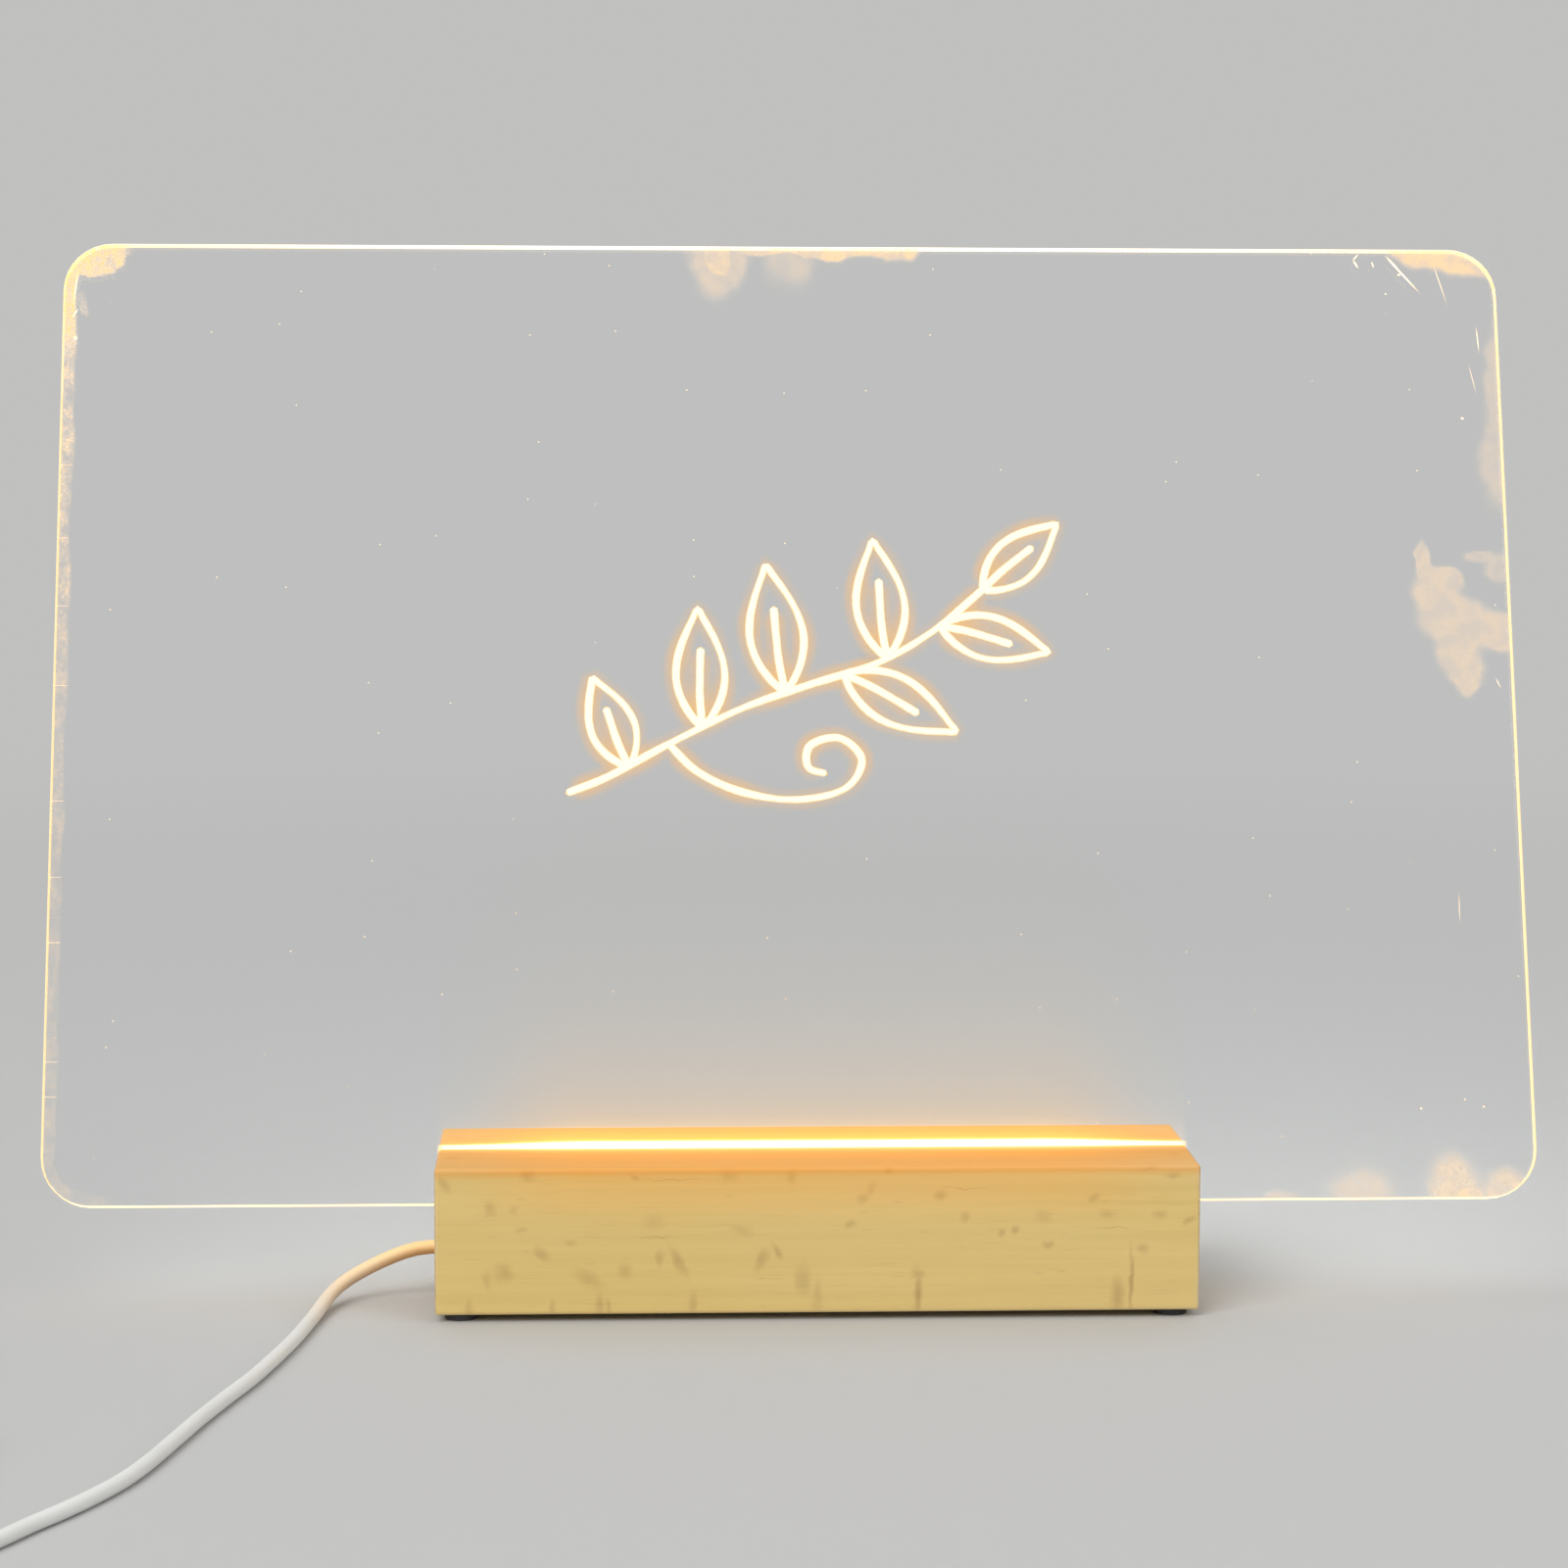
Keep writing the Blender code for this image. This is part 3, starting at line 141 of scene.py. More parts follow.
# Brown flecks and streaks on the front of the wood, across and up from the table, in the same order
FLECKS = (
    (-53.1, 29.2, 2.24, 1.82, 0, 0.6),
    (-60.5, 22.8, 1.68, 2.24, 0, 0.55),
    (-55.8, 22.5, 1.54, 1.68, 0, 0.35),
    (-69.3, 27.4, 2.8, 1.26, -60, 0.5),
    (-54.1, 18.3, 1.82, 0.98, 0, 0.4),
    (-50.4, 13.8, 2.94, 1.54, -55, 0.55),
    (-44.7, 15.9, 2.1, 1.26, 0, 0.4),
    (-57.8, 9.9, 3.08, 2.8, 0, 0.55),
    (-60.9, 8.6, 1.26, 3.08, 0, 0.4),
    (-32.2, 28.7, 1.68, 0.98, -40, 0.65),
    (-28.7, 19.9, 3.64, 2.24, 0, 0.3),
    (-27.3, 12.7, 1.26, 3.08, 0, 0.5),
    (-23.8, 12, 5.04, 1.54, -60, 0.6),
    (-34.2, 9.9, 2.1, 2.24, 0, 0.45),
    (-41.2, 8.6, 5.04, 2.1, -30, 0.45),
    (-39.2, 3.6, 1.26, 3.64, 0, 0.55),
    (-37.5, 2.8, 0.84, 2.8, 0, 0.5),
    (-64.6, 3, 1.26, 2.8, 0, 0.5),
    (-48.4, 3, 1.12, 2.66, 0, 0.5),
    (-20.9, 3.4, 1.4, 3.64, 0, 0.5),
    (-14.2, 29.2, 2.8, 1.96, 0, 0.5),
    (-1.5, 28.8, 1.54, 2.24, 0, 0.5),
    (-11.3, 18, 3.22, 1.82, -20, 0.35),
    (-7.4, 12.3, 3.5, 1.68, 70, 0.6),
    (-4.4, 13.9, 2.8, 1.12, -55, 0.65),
    (0.5, 8.2, 2.24, 4.76, 0, 0.5),
    (17.4, 29.8, 1.54, 1.26, 0, 0.7),
    (12.3, 24.1, 1.82, 1.4, 20, 0.6),
    (13.9, 26, 1.26, 2.38, -20, 0.4),
    (9.8, 19.2, 1.82, 1.26, 0, 0.55),
    (27.5, 24.8, 1.96, 1.54, 0, 0.65),
    (32.2, 20.4, 1.68, 1.68, 0, 0.55),
    (39.5, 17.2, 1.12, 1.26, 0, 0.55),
    (42.1, 17.8, 1.26, 1.4, 0, 0.7),
    (57.5, 24, 1.82, 1.4, 0, 0.65),
    (60.5, 20.8, 2.8, 1.12, 0, 0.5),
    (48.7, 14.9, 1.82, 1.12, 0, 0.6),
    (47.7, 20.6, 2.66, 1.96, 0, 0.35),
    (68.8, 29.9, 2.24, 0.84, 0, 0.65),
    (73.3, 28.6, 2.1, 1.26, 0, 0.6),
    (70.8, 20.8, 2.24, 1.4, 0, 0.5),
    (76.5, 19.5, 1.82, 1.12, 20, 0.7),
    (67.3, 13.9, 1.54, 1.54, 0, 0.55),
    (65.2, 7.5, 0.77, 9.24, 0, 0.85),
    (62.4, 4.4, 2.24, 5.32, 0, 0.7),
    (23.1, 8.9, 2.24, 1.68, 0, 0.6),
    (23.2, 5, 1.26, 7.28, 0, 0.85),
    (3.5, 5, 1.68, 5.04, 0, 0.4),
    (32.4, 26.2, 7.84, 0.22, 0, 0.6),
    (-24.6, 28.2, 10.36, 0.22, 0, 0.6),
    (-27.9, 16.9, 6.72, 0.35, 0, 0.5),
    (61, 18, 4.76, 0.28, 0, 0.5),
)


def deselect_all():
    for obj in bpy.context.selected_objects:
        obj.select_set(False)
    bpy.context.view_layer.objects.active = None


def choose(obj):
    deselect_all()
    obj.select_set(True)
    bpy.context.view_layer.objects.active = obj


def join_all(name, made):
    deselect_all()
    for obj in made:
        obj.select_set(True)
    bpy.context.view_layer.objects.active = made[0]
    bpy.ops.object.join()
    joined = bpy.context.object
    joined.name = name
    bpy.ops.object.shade_smooth()
    return joined


def add_camera():
    bpy.ops.object.camera_add(location=CAMERA_PLACE)
    camera = bpy.context.object
    turn = Matrix.Rotation(-CAMERA_RIGHT, 3, "Z") @ Matrix.Rotation(math.pi / 2 - CAMERA_DOWN, 3, "X")
    camera.rotation_euler = (turn @ Matrix.Rotation(CAMERA_ROLL, 3, "Z")).to_euler()
    camera.data.lens = CAMERA_LENS
    camera.data.sensor_width = CAMERA_SENSOR
    camera.data.clip_start = 10 * MM
    bpy.context.scene.camera = camera


deselect_all()
add_camera()


class Look:
    """A material that is put together node by node."""

    def __init__(self, name, colour=(0.8, 0.8, 0.8), roughness=0.5, metallic=0.0):
        self.material = bpy.data.materials.new(name)
        self.material.use_nodes = True
        self.tree = self.material.node_tree
        self.shader = self.tree.nodes["Principled BSDF"]
        self.surface = self.shader.outputs["BSDF"]
        self.set("Base Color", (*colour, 1))
        self.set("Roughness", roughness)
        self.set("Metallic", metallic)
        self.place = self.add("ShaderNodeTexCoord").outputs["Object"]

    def add(self, kind, **settings):
        made = self.tree.nodes.new(kind)
        for name, value in settings.items():
            setattr(made, name, value)
        return made

    def feed(self, socket, value):
        """Links a socket to another node, or sets it to a plain value."""
        if isinstance(value, bpy.types.NodeSocket):
            self.tree.links.new(value, socket)
        else:
            socket.default_value = value

    def feed_all(self, made, *values):
        """Feeds a node's sockets in their order."""
        for socket, value in zip(made.inputs, values):
            self.feed(socket, value)
        return made

    def set(self, name, value):
        self.feed(self.shader.inputs[name], value)

    def mapped(self, scale=(1, 1, 1), turn=(0, 0, 0), move=(0, 0, 0), kind="POINT", where=None):
        mapping = self.add("ShaderNodeMapping", vector_type=kind)
        return self.feed_all(mapping, where or self.place, move, turn, scale).outputs[0]

    def axes(self, where):
        return self.feed_all(self.add("ShaderNodeSeparateXYZ"), where).outputs

    def vector(self, operation, *values):
        made = self.feed_all(self.add("ShaderNodeVectorMath", operation=operation), *values)
        return made.outputs["Value" if operation == "LENGTH" else "Vector"]

    def calc(self, operation, *values):
        return self.feed_all(self.add("ShaderNodeMath", operation=operation), *values).outputs[0]

    def chain(self, operation, values):
        total, *rest = values
        for value in rest:
            total = self.calc(operation, total, value)
        return total

    def product(self, *values):
        return self.chain("MULTIPLY", values)

    def total(self, *values):
        return self.chain("ADD", values)

    def most(self, *values):
        return self.chain("MAXIMUM", values)

    def off(self, value, middle=0.0):
        """How far a value is from a middle, on either side."""
        return self.calc("ABSOLUTE", self.calc("SUBTRACT", value, middle))

    def cloud(self, where, scale, detail=3.0, roughness=0.5, twist=0.0, sort="3D"):
        made = self.add("ShaderNodeTexNoise", noise_dimensions=sort)
        for name, value in zip(
            ("Vector", "Scale", "Detail", "Roughness", "Distortion"), (where, scale, detail, roughness, twist)
        ):
            self.feed(made.inputs[name], value)
        return made

    def noise(self, *values, sort="3D"):
        return self.cloud(*values, sort=sort).outputs["Fac"]

    def face(self, across, up):
        """A place on a flat face, for patterns that have no depth."""
        return self.feed_all(self.add("ShaderNodeCombineXYZ"), across, up, 0.0).outputs[0]

    def warped(self, where, scale, reach, sort="3D"):
        """The same place shifted about by noise."""
        cloud = self.cloud(where, scale, 2.0, sort=sort).outputs["Color"]
        shift = self.vector("SUBTRACT", cloud, (0.5, 0.5, 0.5))
        return self.vector("MULTIPLY_ADD", shift, (reach, reach, reach), where)

    def oval(self, where, across, up, half_width, half_height, turn):
        """How far a place on a flat face is from an oval's middle, as a share of the way to its outline."""
        size = (half_width * MM, half_height * MM, 1)
        middle = (across * MM, up * MM, 0)
        return self.vector("LENGTH", self.mapped(size, (0, 0, math.radians(turn)), middle, "TEXTURE", where))

    def patches(self, where, marks, soft):
        """Soft-edged ovals on a flat face, where the strongest one counts."""
        strongest = 0.0
        for *shape, strength in marks:
            patch = self.between(self.oval(where, *shape), 1.0, 1.0 - soft, 0.0, strength)
            strongest = self.most(strongest, patch)
        return strongest

    def smudges(self, where, groups):
        """Smudges that are each several ovals run together, where the strongest one counts."""
        steepness = -2.0
        outline = math.exp(steepness)
        strongest = 0.0
        for soft, strength, ovals in groups:
            depth = 0.0
            for shape in ovals:
                share = self.oval(where, *shape)
                depth = self.total(depth, self.calc("EXPONENT", self.product(share, share, steepness)))
            smudge = self.between(depth, outline * (1 - soft), outline * (1 + 3 * soft), 0.0, strength)
            strongest = self.most(strongest, smudge)
        return strongest

    def spots(self, where, scale, reach, share, sort="3D"):
        """Round spots in a share of the cells of a Voronoi pattern, or lines where it has one dimension."""
        cells = self.add("ShaderNodeTexVoronoi", voronoi_dimensions=sort)
        self.feed(cells.inputs["W" if sort == "1D" else "Vector"], where)
        self.feed(cells.inputs["Scale"], scale)
        near = self.between(cells.outputs["Distance"], reach, reach * 0.3)
        luck = self.axes(cells.outputs["Color"])[0]
        return self.product(near, self.between(luck, 1 - share, 1 - share * 0.6))

    def between(self, value, low, high, start=0.0, end=1.0):
        """A smooth change from start, where the value is low, to end, where it is high."""
        if low > high:
            low, high, start, end = high, low, end, start
        made = self.add("ShaderNodeMapRange", interpolation_type="SMOOTHSTEP")
        return self.feed_all(made, value, low, high, start, end).outputs[0]

    def fall(self, value, reach):
        """1 where the value is zero or less, falling off to nothing past the reach."""
        return self.calc("EXPONENT", self.calc("DIVIDE", self.calc("MAXIMUM", value, 0.0), -reach))

    def mixed(self, share, first, second):
        made = self.add("ShaderNodeMix", data_type="RGBA")
        for socket, fed in zip((made.inputs[0], made.inputs[6], made.inputs[7]), (share, first, second)):
            self.feed(socket, (*fed, 1) if isinstance(fed, tuple) else fed)
        return made.outputs[2]

    def ramp(self, value, *stops):
        """A colour for a value, from (place, colour) stops."""
        made = self.add("ShaderNodeValToRGB")
        points = made.color_ramp.elements
        while len(points) < len(stops):
            points.new(0.5)
        for point, (place, colour) in zip(points, stops):
            point.position = place
            point.color = (*colour, 1)
        return self.feed_all(made, value).outputs["Color"]

    def bump(self, height, depth, strength=1.0):
        made = self.add("ShaderNodeBump")
        for name, value in zip(("Height", "Distance", "Strength"), (height, depth, strength)):
            self.feed(made.inputs[name], value)
        self.set("Normal", made.outputs["Normal"])

    def mix_shaders(self, share, first, second):
        return self.feed_all(self.add("ShaderNodeMixShader"), share, first, second).outputs[0]

    def glow(self, light, strength):
        self.set("Emission Color", self.ramp(light, *GLOW_STOPS))
        self.set("Emission Strength", strength)

    def done(self, lights_others=True):
        if not lights_others:
            self.material.cycles.emission_sampling = "NONE"
        self.tree.links.new(self.surface, self.tree.nodes["Material Output"].inputs["Surface"])
        return self.material


# Stretches over which the sheet's looks change, across it, up it, or from its faces, its rim or the wood
FACE_SKIN = (0.02 * MM, 0.06 * MM)
RIM_SKIN = (0.005 * MM, 0.015 * MM)
ROUGH_LEFT = (-130 * MM, -110 * MM)
STRIP_SIDE = (-140 * MM, -135 * MM)
STRIP_WIDTHS = (2.7 * MM, 3.5 * MM)
THICK_WEAR = (170 * MM, 184 * MM)
FAINT_WEAR = (50 * MM, 165 * MM)
NICKED = (150 * MM, 180 * MM)
RIM_TOP = (192 * MM, 199 * MM)
RIM_FOOT = (1 * MM, 3 * MM)
RIM_MIDDLE = (40 * MM, SHEET_WIDTH / 2)
RIM_FRINGE = 0.1 * MM
LIT_END = 30 * MM  # the lit line fades over this much at its ends
LIT_LINE = (1.2 * MM, 1.9 * MM)
LIT_NEAR = 2.4 * MM
LIT_HAZE = 13 * MM
LIT_DEPTH = (-3 * MM, -0.3 * MM)  # the glow fades over this, down into the groove
LAMPS_END = (-1 * MM, 0.5 * MM)  # from the base's end faces
CLOUD_WARP = 9 * MM
SMUDGE_WARP = 3 * MM


def sheet_place(look):
    """Distances across, through and up the sheet, in its own leaning frame."""
    return look.axes(look.mapped(turn=(-LEAN, 0, 0), move=SHEET_FOOT, kind="TEXTURE"))


def lit_length(look, across, least):
    """1 along the lamps, and down to the least at the ends of the groove."""
    half = WOOD_LENGTH / 2
    return look.between(look.off(across, WOOD_MIDDLE), half - LIT_END, half, 1.0, least)


def rim_distance(look, across, up):
    """How far a place on the sheet is from its rounded rim."""
    past_side = look.calc("SUBTRACT", look.off(across), SHEET_WIDTH / 2 - SHEET_CORNER)
    past_end = look.calc("SUBTRACT", look.off(up, SHEET_MIDDLE), SHEET_HEIGHT / 2 - SHEET_CORNER)
    side = look.calc("MAXIMUM", past_side, 0.0)
    end = look.calc("MAXIMUM", past_end, 0.0)
    outer = look.calc("SQRT", look.total(look.product(side, side), look.product(end, end)))
    inner = look.calc("MINIMUM", look.calc("MAXIMUM", past_side, past_end), 0.0)
    return look.calc("SUBTRACT", SHEET_CORNER, look.total(outer, inner))


def hand_smudges(look, face, fine, across):
    """Soft smudges, with a streaky grain in those on the left."""
    clouds = look.noise(look.warped(face, 90, CLOUD_WARP, "2D"), 210, 3, 0.55, sort="2D")
    smudged = look.smudges(look.warped(face, 150, SMUDGE_WARP, "2D"), SMUDGES)
    slant = (0, 0, math.radians(35))
    streaks = look.noise(look.mapped((900, 260, 0), slant, where=face), 1, 4, 0.7, 0.6)
    rough = look.between(across, *ROUGH_LEFT, 0.45, 0.08)
    grain = look.product(look.between(look.most(fine, streaks), 0.42, 0.66, -1.0, 0.0), rough)
    return look.product(smudged, look.between(clouds, 0.3, 0.65, 0.65, 1.0), look.total(grain, 1.0))


def left_strip(look, face, across, to_rim):
    """1 in the worn strip along the left rim, whose inner edge is wavy."""
    left = look.between(across, *STRIP_SIDE, 1.0, 0.0)
    wavy = look.noise(look.mapped((0, 60, 0), where=face), 1, 2, 0.5)
    inner = look.between(wavy, 0.3, 0.7, *STRIP_WIDTHS)
    return look.product(left, look.between(look.calc("DIVIDE", to_rim, inner), 0.75, 1.0, 1.0, 0.0))


def strip_wear(look, face, fine, strip, up):
    """The strip's blotches, which thicken towards the top, and the nicks across it."""
    patchy = look.noise(look.mapped((330, 200, 0), where=face), 1, 5, 0.75)
    blotches = look.between(patchy, 0.36, 0.68, 0.12, 0.72)
    thick = look.between(up, *THICK_WEAR, 0.0, 0.95)
    fainter = look.between(up, *FAINT_WEAR, 0.45, 1.0)
    crumbs = look.between(fine, 0.35, 0.62, 0.55, 1.0)
    worn = look.product(strip, look.most(look.product(blotches, fainter), thick), crumbs)
    nicks = look.product(look.spots(up, 130, 0.02, 0.5, "1D"), look.between(blotches, 0.4, 0.8, 0.3, 0.6))
    return worn, look.product(nicks, strip, look.between(up, *NICKED, 1.0, 0.0))


def lamp_light(look, across, up):
    """The lit line where the sheet leaves the wood, and the haze above it."""
    past_wood = look.calc("SUBTRACT", up, WOOD_LINE)
    half = WOOD_LENGTH / 2
    inside, outside = LAMPS_END
    over_base = look.between(look.off(across, WOOD_MIDDLE), half + inside, half + outside, 1.0, 0.0)
    tapered = look.calc("DIVIDE", past_wood, lit_length(look, across, 0.5))
    core = look.product(look.between(tapered, *LIT_LINE, 1.0, 0.0), lit_length(look, across, 0.85))
    near = look.product(look.fall(past_wood, LIT_NEAR), lit_length(look, across, 0.4), 0.38)
    haze = look.product(look.fall(past_wood, LIT_HAZE), lit_length(look, across, 0.1), 0.15)
    sunk = look.between(past_wood, *LIT_DEPTH, 0.08, 1.0)
    lamp = look.product(look.most(core, look.total(near, haze)), over_base, sunk)
    return lamp, look.product(haze, over_base, sunk)


def rim_light(look, across, up):
    """Brightest in the middle of the top, and a little brighter along the foot than up the sides."""
    top = look.between(up, *RIM_TOP)
    middle = look.between(look.off(across), *RIM_MIDDLE, 1.0, 0.6)
    foot = look.between(up, *RIM_FOOT, 0.4, 0.0)
    return look.total(0.34, look.product(top, middle, 0.66), foot)


# Clear sheet, lit along its rim, with its smudges, wear and dust
def clear_sheet():
    look = Look("clear_acrylic_sheet", CLEAR, 0.0)
    across, through, up = sheet_place(look)
    half = SHEET_THICKNESS / 2
    near, far = FACE_SKIN
    front = look.between(through, near - half, far - half, 1.0, 0.0)
    near, far = RIM_SKIN
    rim = look.between(look.off(through), half - far, half - near, 1.0, 0.0)
    to_rim = rim_distance(look, across, up)
    face = look.face(across, up)
    fine = look.noise(face, 1100, 3, 0.7, sort="2D")

    strip = left_strip(look, face, across, to_rim)
    worn, nicks = strip_wear(look, face, fine, strip, up)
    film = look.product(look.most(hand_smudges(look, face, fine, across), worn), front)
    scratches = look.patches(face, SCRATCHES, 0.8)
    dust = look.product(look.spots(face, 60, 0.012, 0.5, "2D"), 0.6)
    marks = look.product(look.most(scratches, dust, nicks), front)

    lamp, haze = lamp_light(look, across, up)
    lit_rim = look.product(rim, rim_light(look, across, up))
    rim_glow_fringe = look.product(look.fall(to_rim, RIM_FRINGE), 0.2)
    lit_marks = look.most(look.product(film, 0.2), look.product(marks, 0.8))
    look.glow(look.most(lit_rim, look.product(lamp, front), rim_glow_fringe, lit_marks), 1.2)

    # Base colour: the smudge film, plus painted lamplight in the same amber over the lamps' haze, the lit rim
    # and the glowing fringe beside it
    deep = look.product(film, look.between(across, *ROUGH_LEFT, 1.1, 0.82))
    film_and_lamplit_tint = look.most(deep, look.product(haze, 3.0), rim_glow_fringe, look.product(rim, 0.55))
    look.set("Base Color", look.mixed(film_and_lamplit_tint, CLEAR, FILM_AND_LAMPLIT_AMBER))
    solid = look.most(look.product(rim, 0.6), look.product(film, 0.6), look.product(marks, 0.5))
    look.set("Transmission Weight", look.calc("SUBTRACT", 1.0, solid))
    look.set("Roughness", look.total(0.01, look.product(film, 0.3)))
    look.set("IOR", 1.49)

    passing = look.add("ShaderNodeBsdfTransparent")
    passing.inputs["Color"].default_value = (0.9, 0.91, 0.91, 1)
    shadow = look.add("ShaderNodeLightPath").outputs["Is Shadow Ray"]
    look.surface = look.mix_shaders(shadow, look.surface, passing.outputs[0])
    return look.done(lights_others=False)


# Wooden base: its grain, its edges, and how far the lamps' light reaches over it
PITH = (0, -20 * MM, 75 * MM)
GROWTH_RING = 2.6 * MM
RING_WARP = 7 * MM
FLECK_WARP = 1.4 * MM
STREWN_WARP = 2.5 * MM
WOOD_SKIN = 0.15 * MM
BLOCK_EDGE = 1 * MM
SAWN_EDGE = 0.5 * MM
FRONT_SKIN = (0.8 * MM, 1.5 * MM)
TOP_SKIN = (0.3 * MM, 3 * MM)
WALL_SKIN = 0.3 * MM
AMBER_REACH = 45 * MM
TIGHT_GLOW = 1.3 * MM
WIDE_GLOW = 11 * MM
SPILL_DEPTH = 14 * MM
SPECKLED = (2 * MM, 4 * MM)
SPECKLE_DEPTH = 5 * MM


def near_faces(look, value, low, high, reach):
    """1 on the two faces that bound a value, down to nothing past the reach."""
    half = (high - low) / 2
    return look.between(look.off(value, (low + high) / 2), half - reach, half - WOOD_SKIN)


def growth_rings(look):
    """A wave across the rings about a pith that lies outside the block."""
    from_pith = look.mapped((0.05, 1, 1), move=PITH)
    rings = look.vector("LENGTH", look.warped(from_pith, 22, RING_WARP))
    uneven = look.product(look.noise(look.face(rings, 0.0), 170, 3, 0.6, sort="2D"), 9.0)
    return look.calc("SINE", look.total(look.product(rings, math.tau / GROWTH_RING), uneven))


def beech_grain(look, band, fibre, broad, pores):
    """The colour along the grain."""
    wood = look.mixed(look.between(fibre, 0.3, 0.7), (0.73, 0.535, 0.19), (0.68, 0.49, 0.165))
    wood = look.mixed(look.between(band, -1, 1, 0.0, 0.1), wood, (0.58, 0.4, 0.14))
    wood = look.mixed(look.between(broad, 0.35, 0.7, 0.0, 0.3), wood, (0.76, 0.58, 0.25))
    wood = look.mixed(look.between(pores, 0.56, 0.7, 0.0, 0.2), wood, (0.48, 0.31, 0.11))
    rays = look.spots(look.mapped((150, 520, 520)), 1, 0.22, 0.4)
    return look.mixed(look.product(rays, 0.2), wood, (0.48, 0.3, 0.13))


def brown_marks(look, fibre):
    """The flecks on the front, and others strewn over the rest."""
    x, y, z = look.axes(look.place)
    near, far = FRONT_SKIN
    to_front = look.between(y, WOOD_LOW.y + near, WOOD_LOW.y + far, 1.0, 0.0)
    flecks = look.patches(look.warped(look.face(x, z), 300, FLECK_WARP, "2D"), FLECKS, 1.0)
    crooked = look.warped(look.place, 300, STREWN_WARP)
    leaning = look.mapped((1, 1, 0.55), (0, math.radians(24), 0), where=crooked)
    strewn = look.product(look.spots(leaning, 130, 0.3, 0.45), look.calc("SUBTRACT", 1.0, to_front), 0.45)
    streaked = look.between(fibre, 0.25, 0.6, 0.75, 1.0)
    return look.product(look.most(look.product(flecks, to_front), strewn), streaked, 0.75)


def end_grain(look, band):
    """The darker wood of the two sawn ends, with its pores end on."""
    pores = look.noise(look.mapped((400, 2200, 2200)), 1, 3, 0.7)
    wood = look.mixed(look.between(band, -0.6, 1), (0.6, 0.42, 0.22), (0.47, 0.31, 0.15))
    return look.mixed(look.between(pores, 0.52, 0.66, 0.0, 0.5), wood, (0.33, 0.2, 0.09))


def block_edges(look):
    """1 along the block's edges."""
    x, y, z = (
        near_faces(look, value, low, high, BLOCK_EDGE)
        for value, low, high in zip(look.axes(look.place), WOOD_LOW, WOOD_HIGH)
    )
    return look.most(look.product(x, y), look.product(y, z), look.product(z, x))


def lamps_on_wood(look, ends):
    """How amber the lamps turn the wood round the groove, and how much of their light it shows."""
    z = look.axes(look.place)[2]
    across, through = sheet_place(look)[:2]
    from_groove = look.calc("SUBTRACT", look.off(through), GROOVE_HALF)
    near, far = TOP_SKIN
    on_top = look.between(z, WOOD_HIGH.z - far, WOOD_HIGH.z - near)
    high_up = look.between(z, WOOD_HIGH.z - SPILL_DEPTH, WOOD_HIGH.z)
    amber = look.product(look.fall(from_groove, AMBER_REACH), lit_length(look, across, 0.7), on_top)
    spill = look.product(high_up, lit_length(look, across, 0.1))
    tight = look.product(look.fall(from_groove, TIGHT_GLOW), 0.8, lit_length(look, across, 0.6))
    wide = look.product(look.fall(from_groove, WIDE_GLOW), 0.36, lit_length(look, across, 0.3))
    wall = look.product(look.between(from_groove, 0.0, WALL_SKIN, 1.0, 0.0), high_up)
    beside = look.between(look.off(through), *SPECKLED, 1.0, 0.0)
    near_top = look.between(z, WOOD_HIGH.z - SPECKLE_DEPTH, WOOD_HIGH.z)
    speckle = look.product(look.spots(look.place, 1400, 0.5, 0.6), beside, ends, near_top, 0.5)
    lamp = look.most(look.product(look.total(tight, wide), on_top), look.product(wall, 0.8), speckle)
    return look.most(amber, look.product(spill, 0.3)), look.most(lamp, look.product(spill, 0.1))


def pale_wood():
    look = Look("pale_beech", (0.7, 0.51, 0.28), 0.55)
    x = look.axes(look.place)[0]
    band = growth_rings(look)
    fibre = look.noise(look.mapped((9, 420, 420)), 1, 5, 0.6, 0.15)
    pores = look.noise(look.mapped((90, 2800, 2800)), 1, 3, 0.6)
    broad = look.noise(look.mapped((14, 60, 60)), 1, 3, 0.5)
    wood = beech_grain(look, band, fibre, broad, pores)
    wood = look.mixed(brown_marks(look, fibre), wood, (0.38, 0.22, 0.07))
    ends = near_faces(look, x, WOOD_LOW.x, WOOD_HIGH.x, SAWN_EDGE)
    wood = look.mixed(look.product(ends, 0.6), wood, end_grain(look, band))
    edges = block_edges(look)
    wood = look.mixed(look.product(edges, look.between(broad, 0.3, 0.7, 0.1, 0.5)), wood, (0.76, 0.6, 0.37))
    amber, light = lamps_on_wood(look, ends)
    look.set("Base Color", look.mixed(amber, wood, LAMPLIT_WOOD))
    look.set("Roughness", look.total(look.between(fibre, 0.2, 0.8, 0.48, 0.62), look.product(edges, -0.08)))
    look.glow(light, 0.6)
    look.bump(look.total(look.product(fibre, 0.7), look.product(pores, 0.3)), 0.08 * MM, 0.4)
    return look.done(lights_others=False)


def ply():
    look = Look("plywood", (0.62, 0.46, 0.28), 0.65)
    fibre = look.noise(look.mapped((14, 260, 260)), 1, 5, 0.6, 0.2)
    layers = look.noise(look.mapped((4, 4, 1400)), 1, 1, 0.4)
    wood = look.mixed(look.between(fibre, 0.3, 0.7), (0.66, 0.5, 0.31), (0.52, 0.36, 0.2))
    look.set("Base Color", look.mixed(look.between(layers, 0.52, 0.6, 0.0, 0.35), wood, (0.34, 0.22, 0.12)))
    look.bump(fibre, 0.15 * MM, 0.4)
    return look.done()


# Plastics, rubber and metals
TAPE_THREAD = 0.5 * MM
LAMPLIT_LEAD = (2 * MM, 46 * MM)  # from where the lead leaves the base
LENS_EDGE = (0.4 * MM, 1.3 * MM)
TRACK_INNER = (2.9 * MM, 3.0 * MM)
TRACK_OUTER = (3.5 * MM, 3.6 * MM)


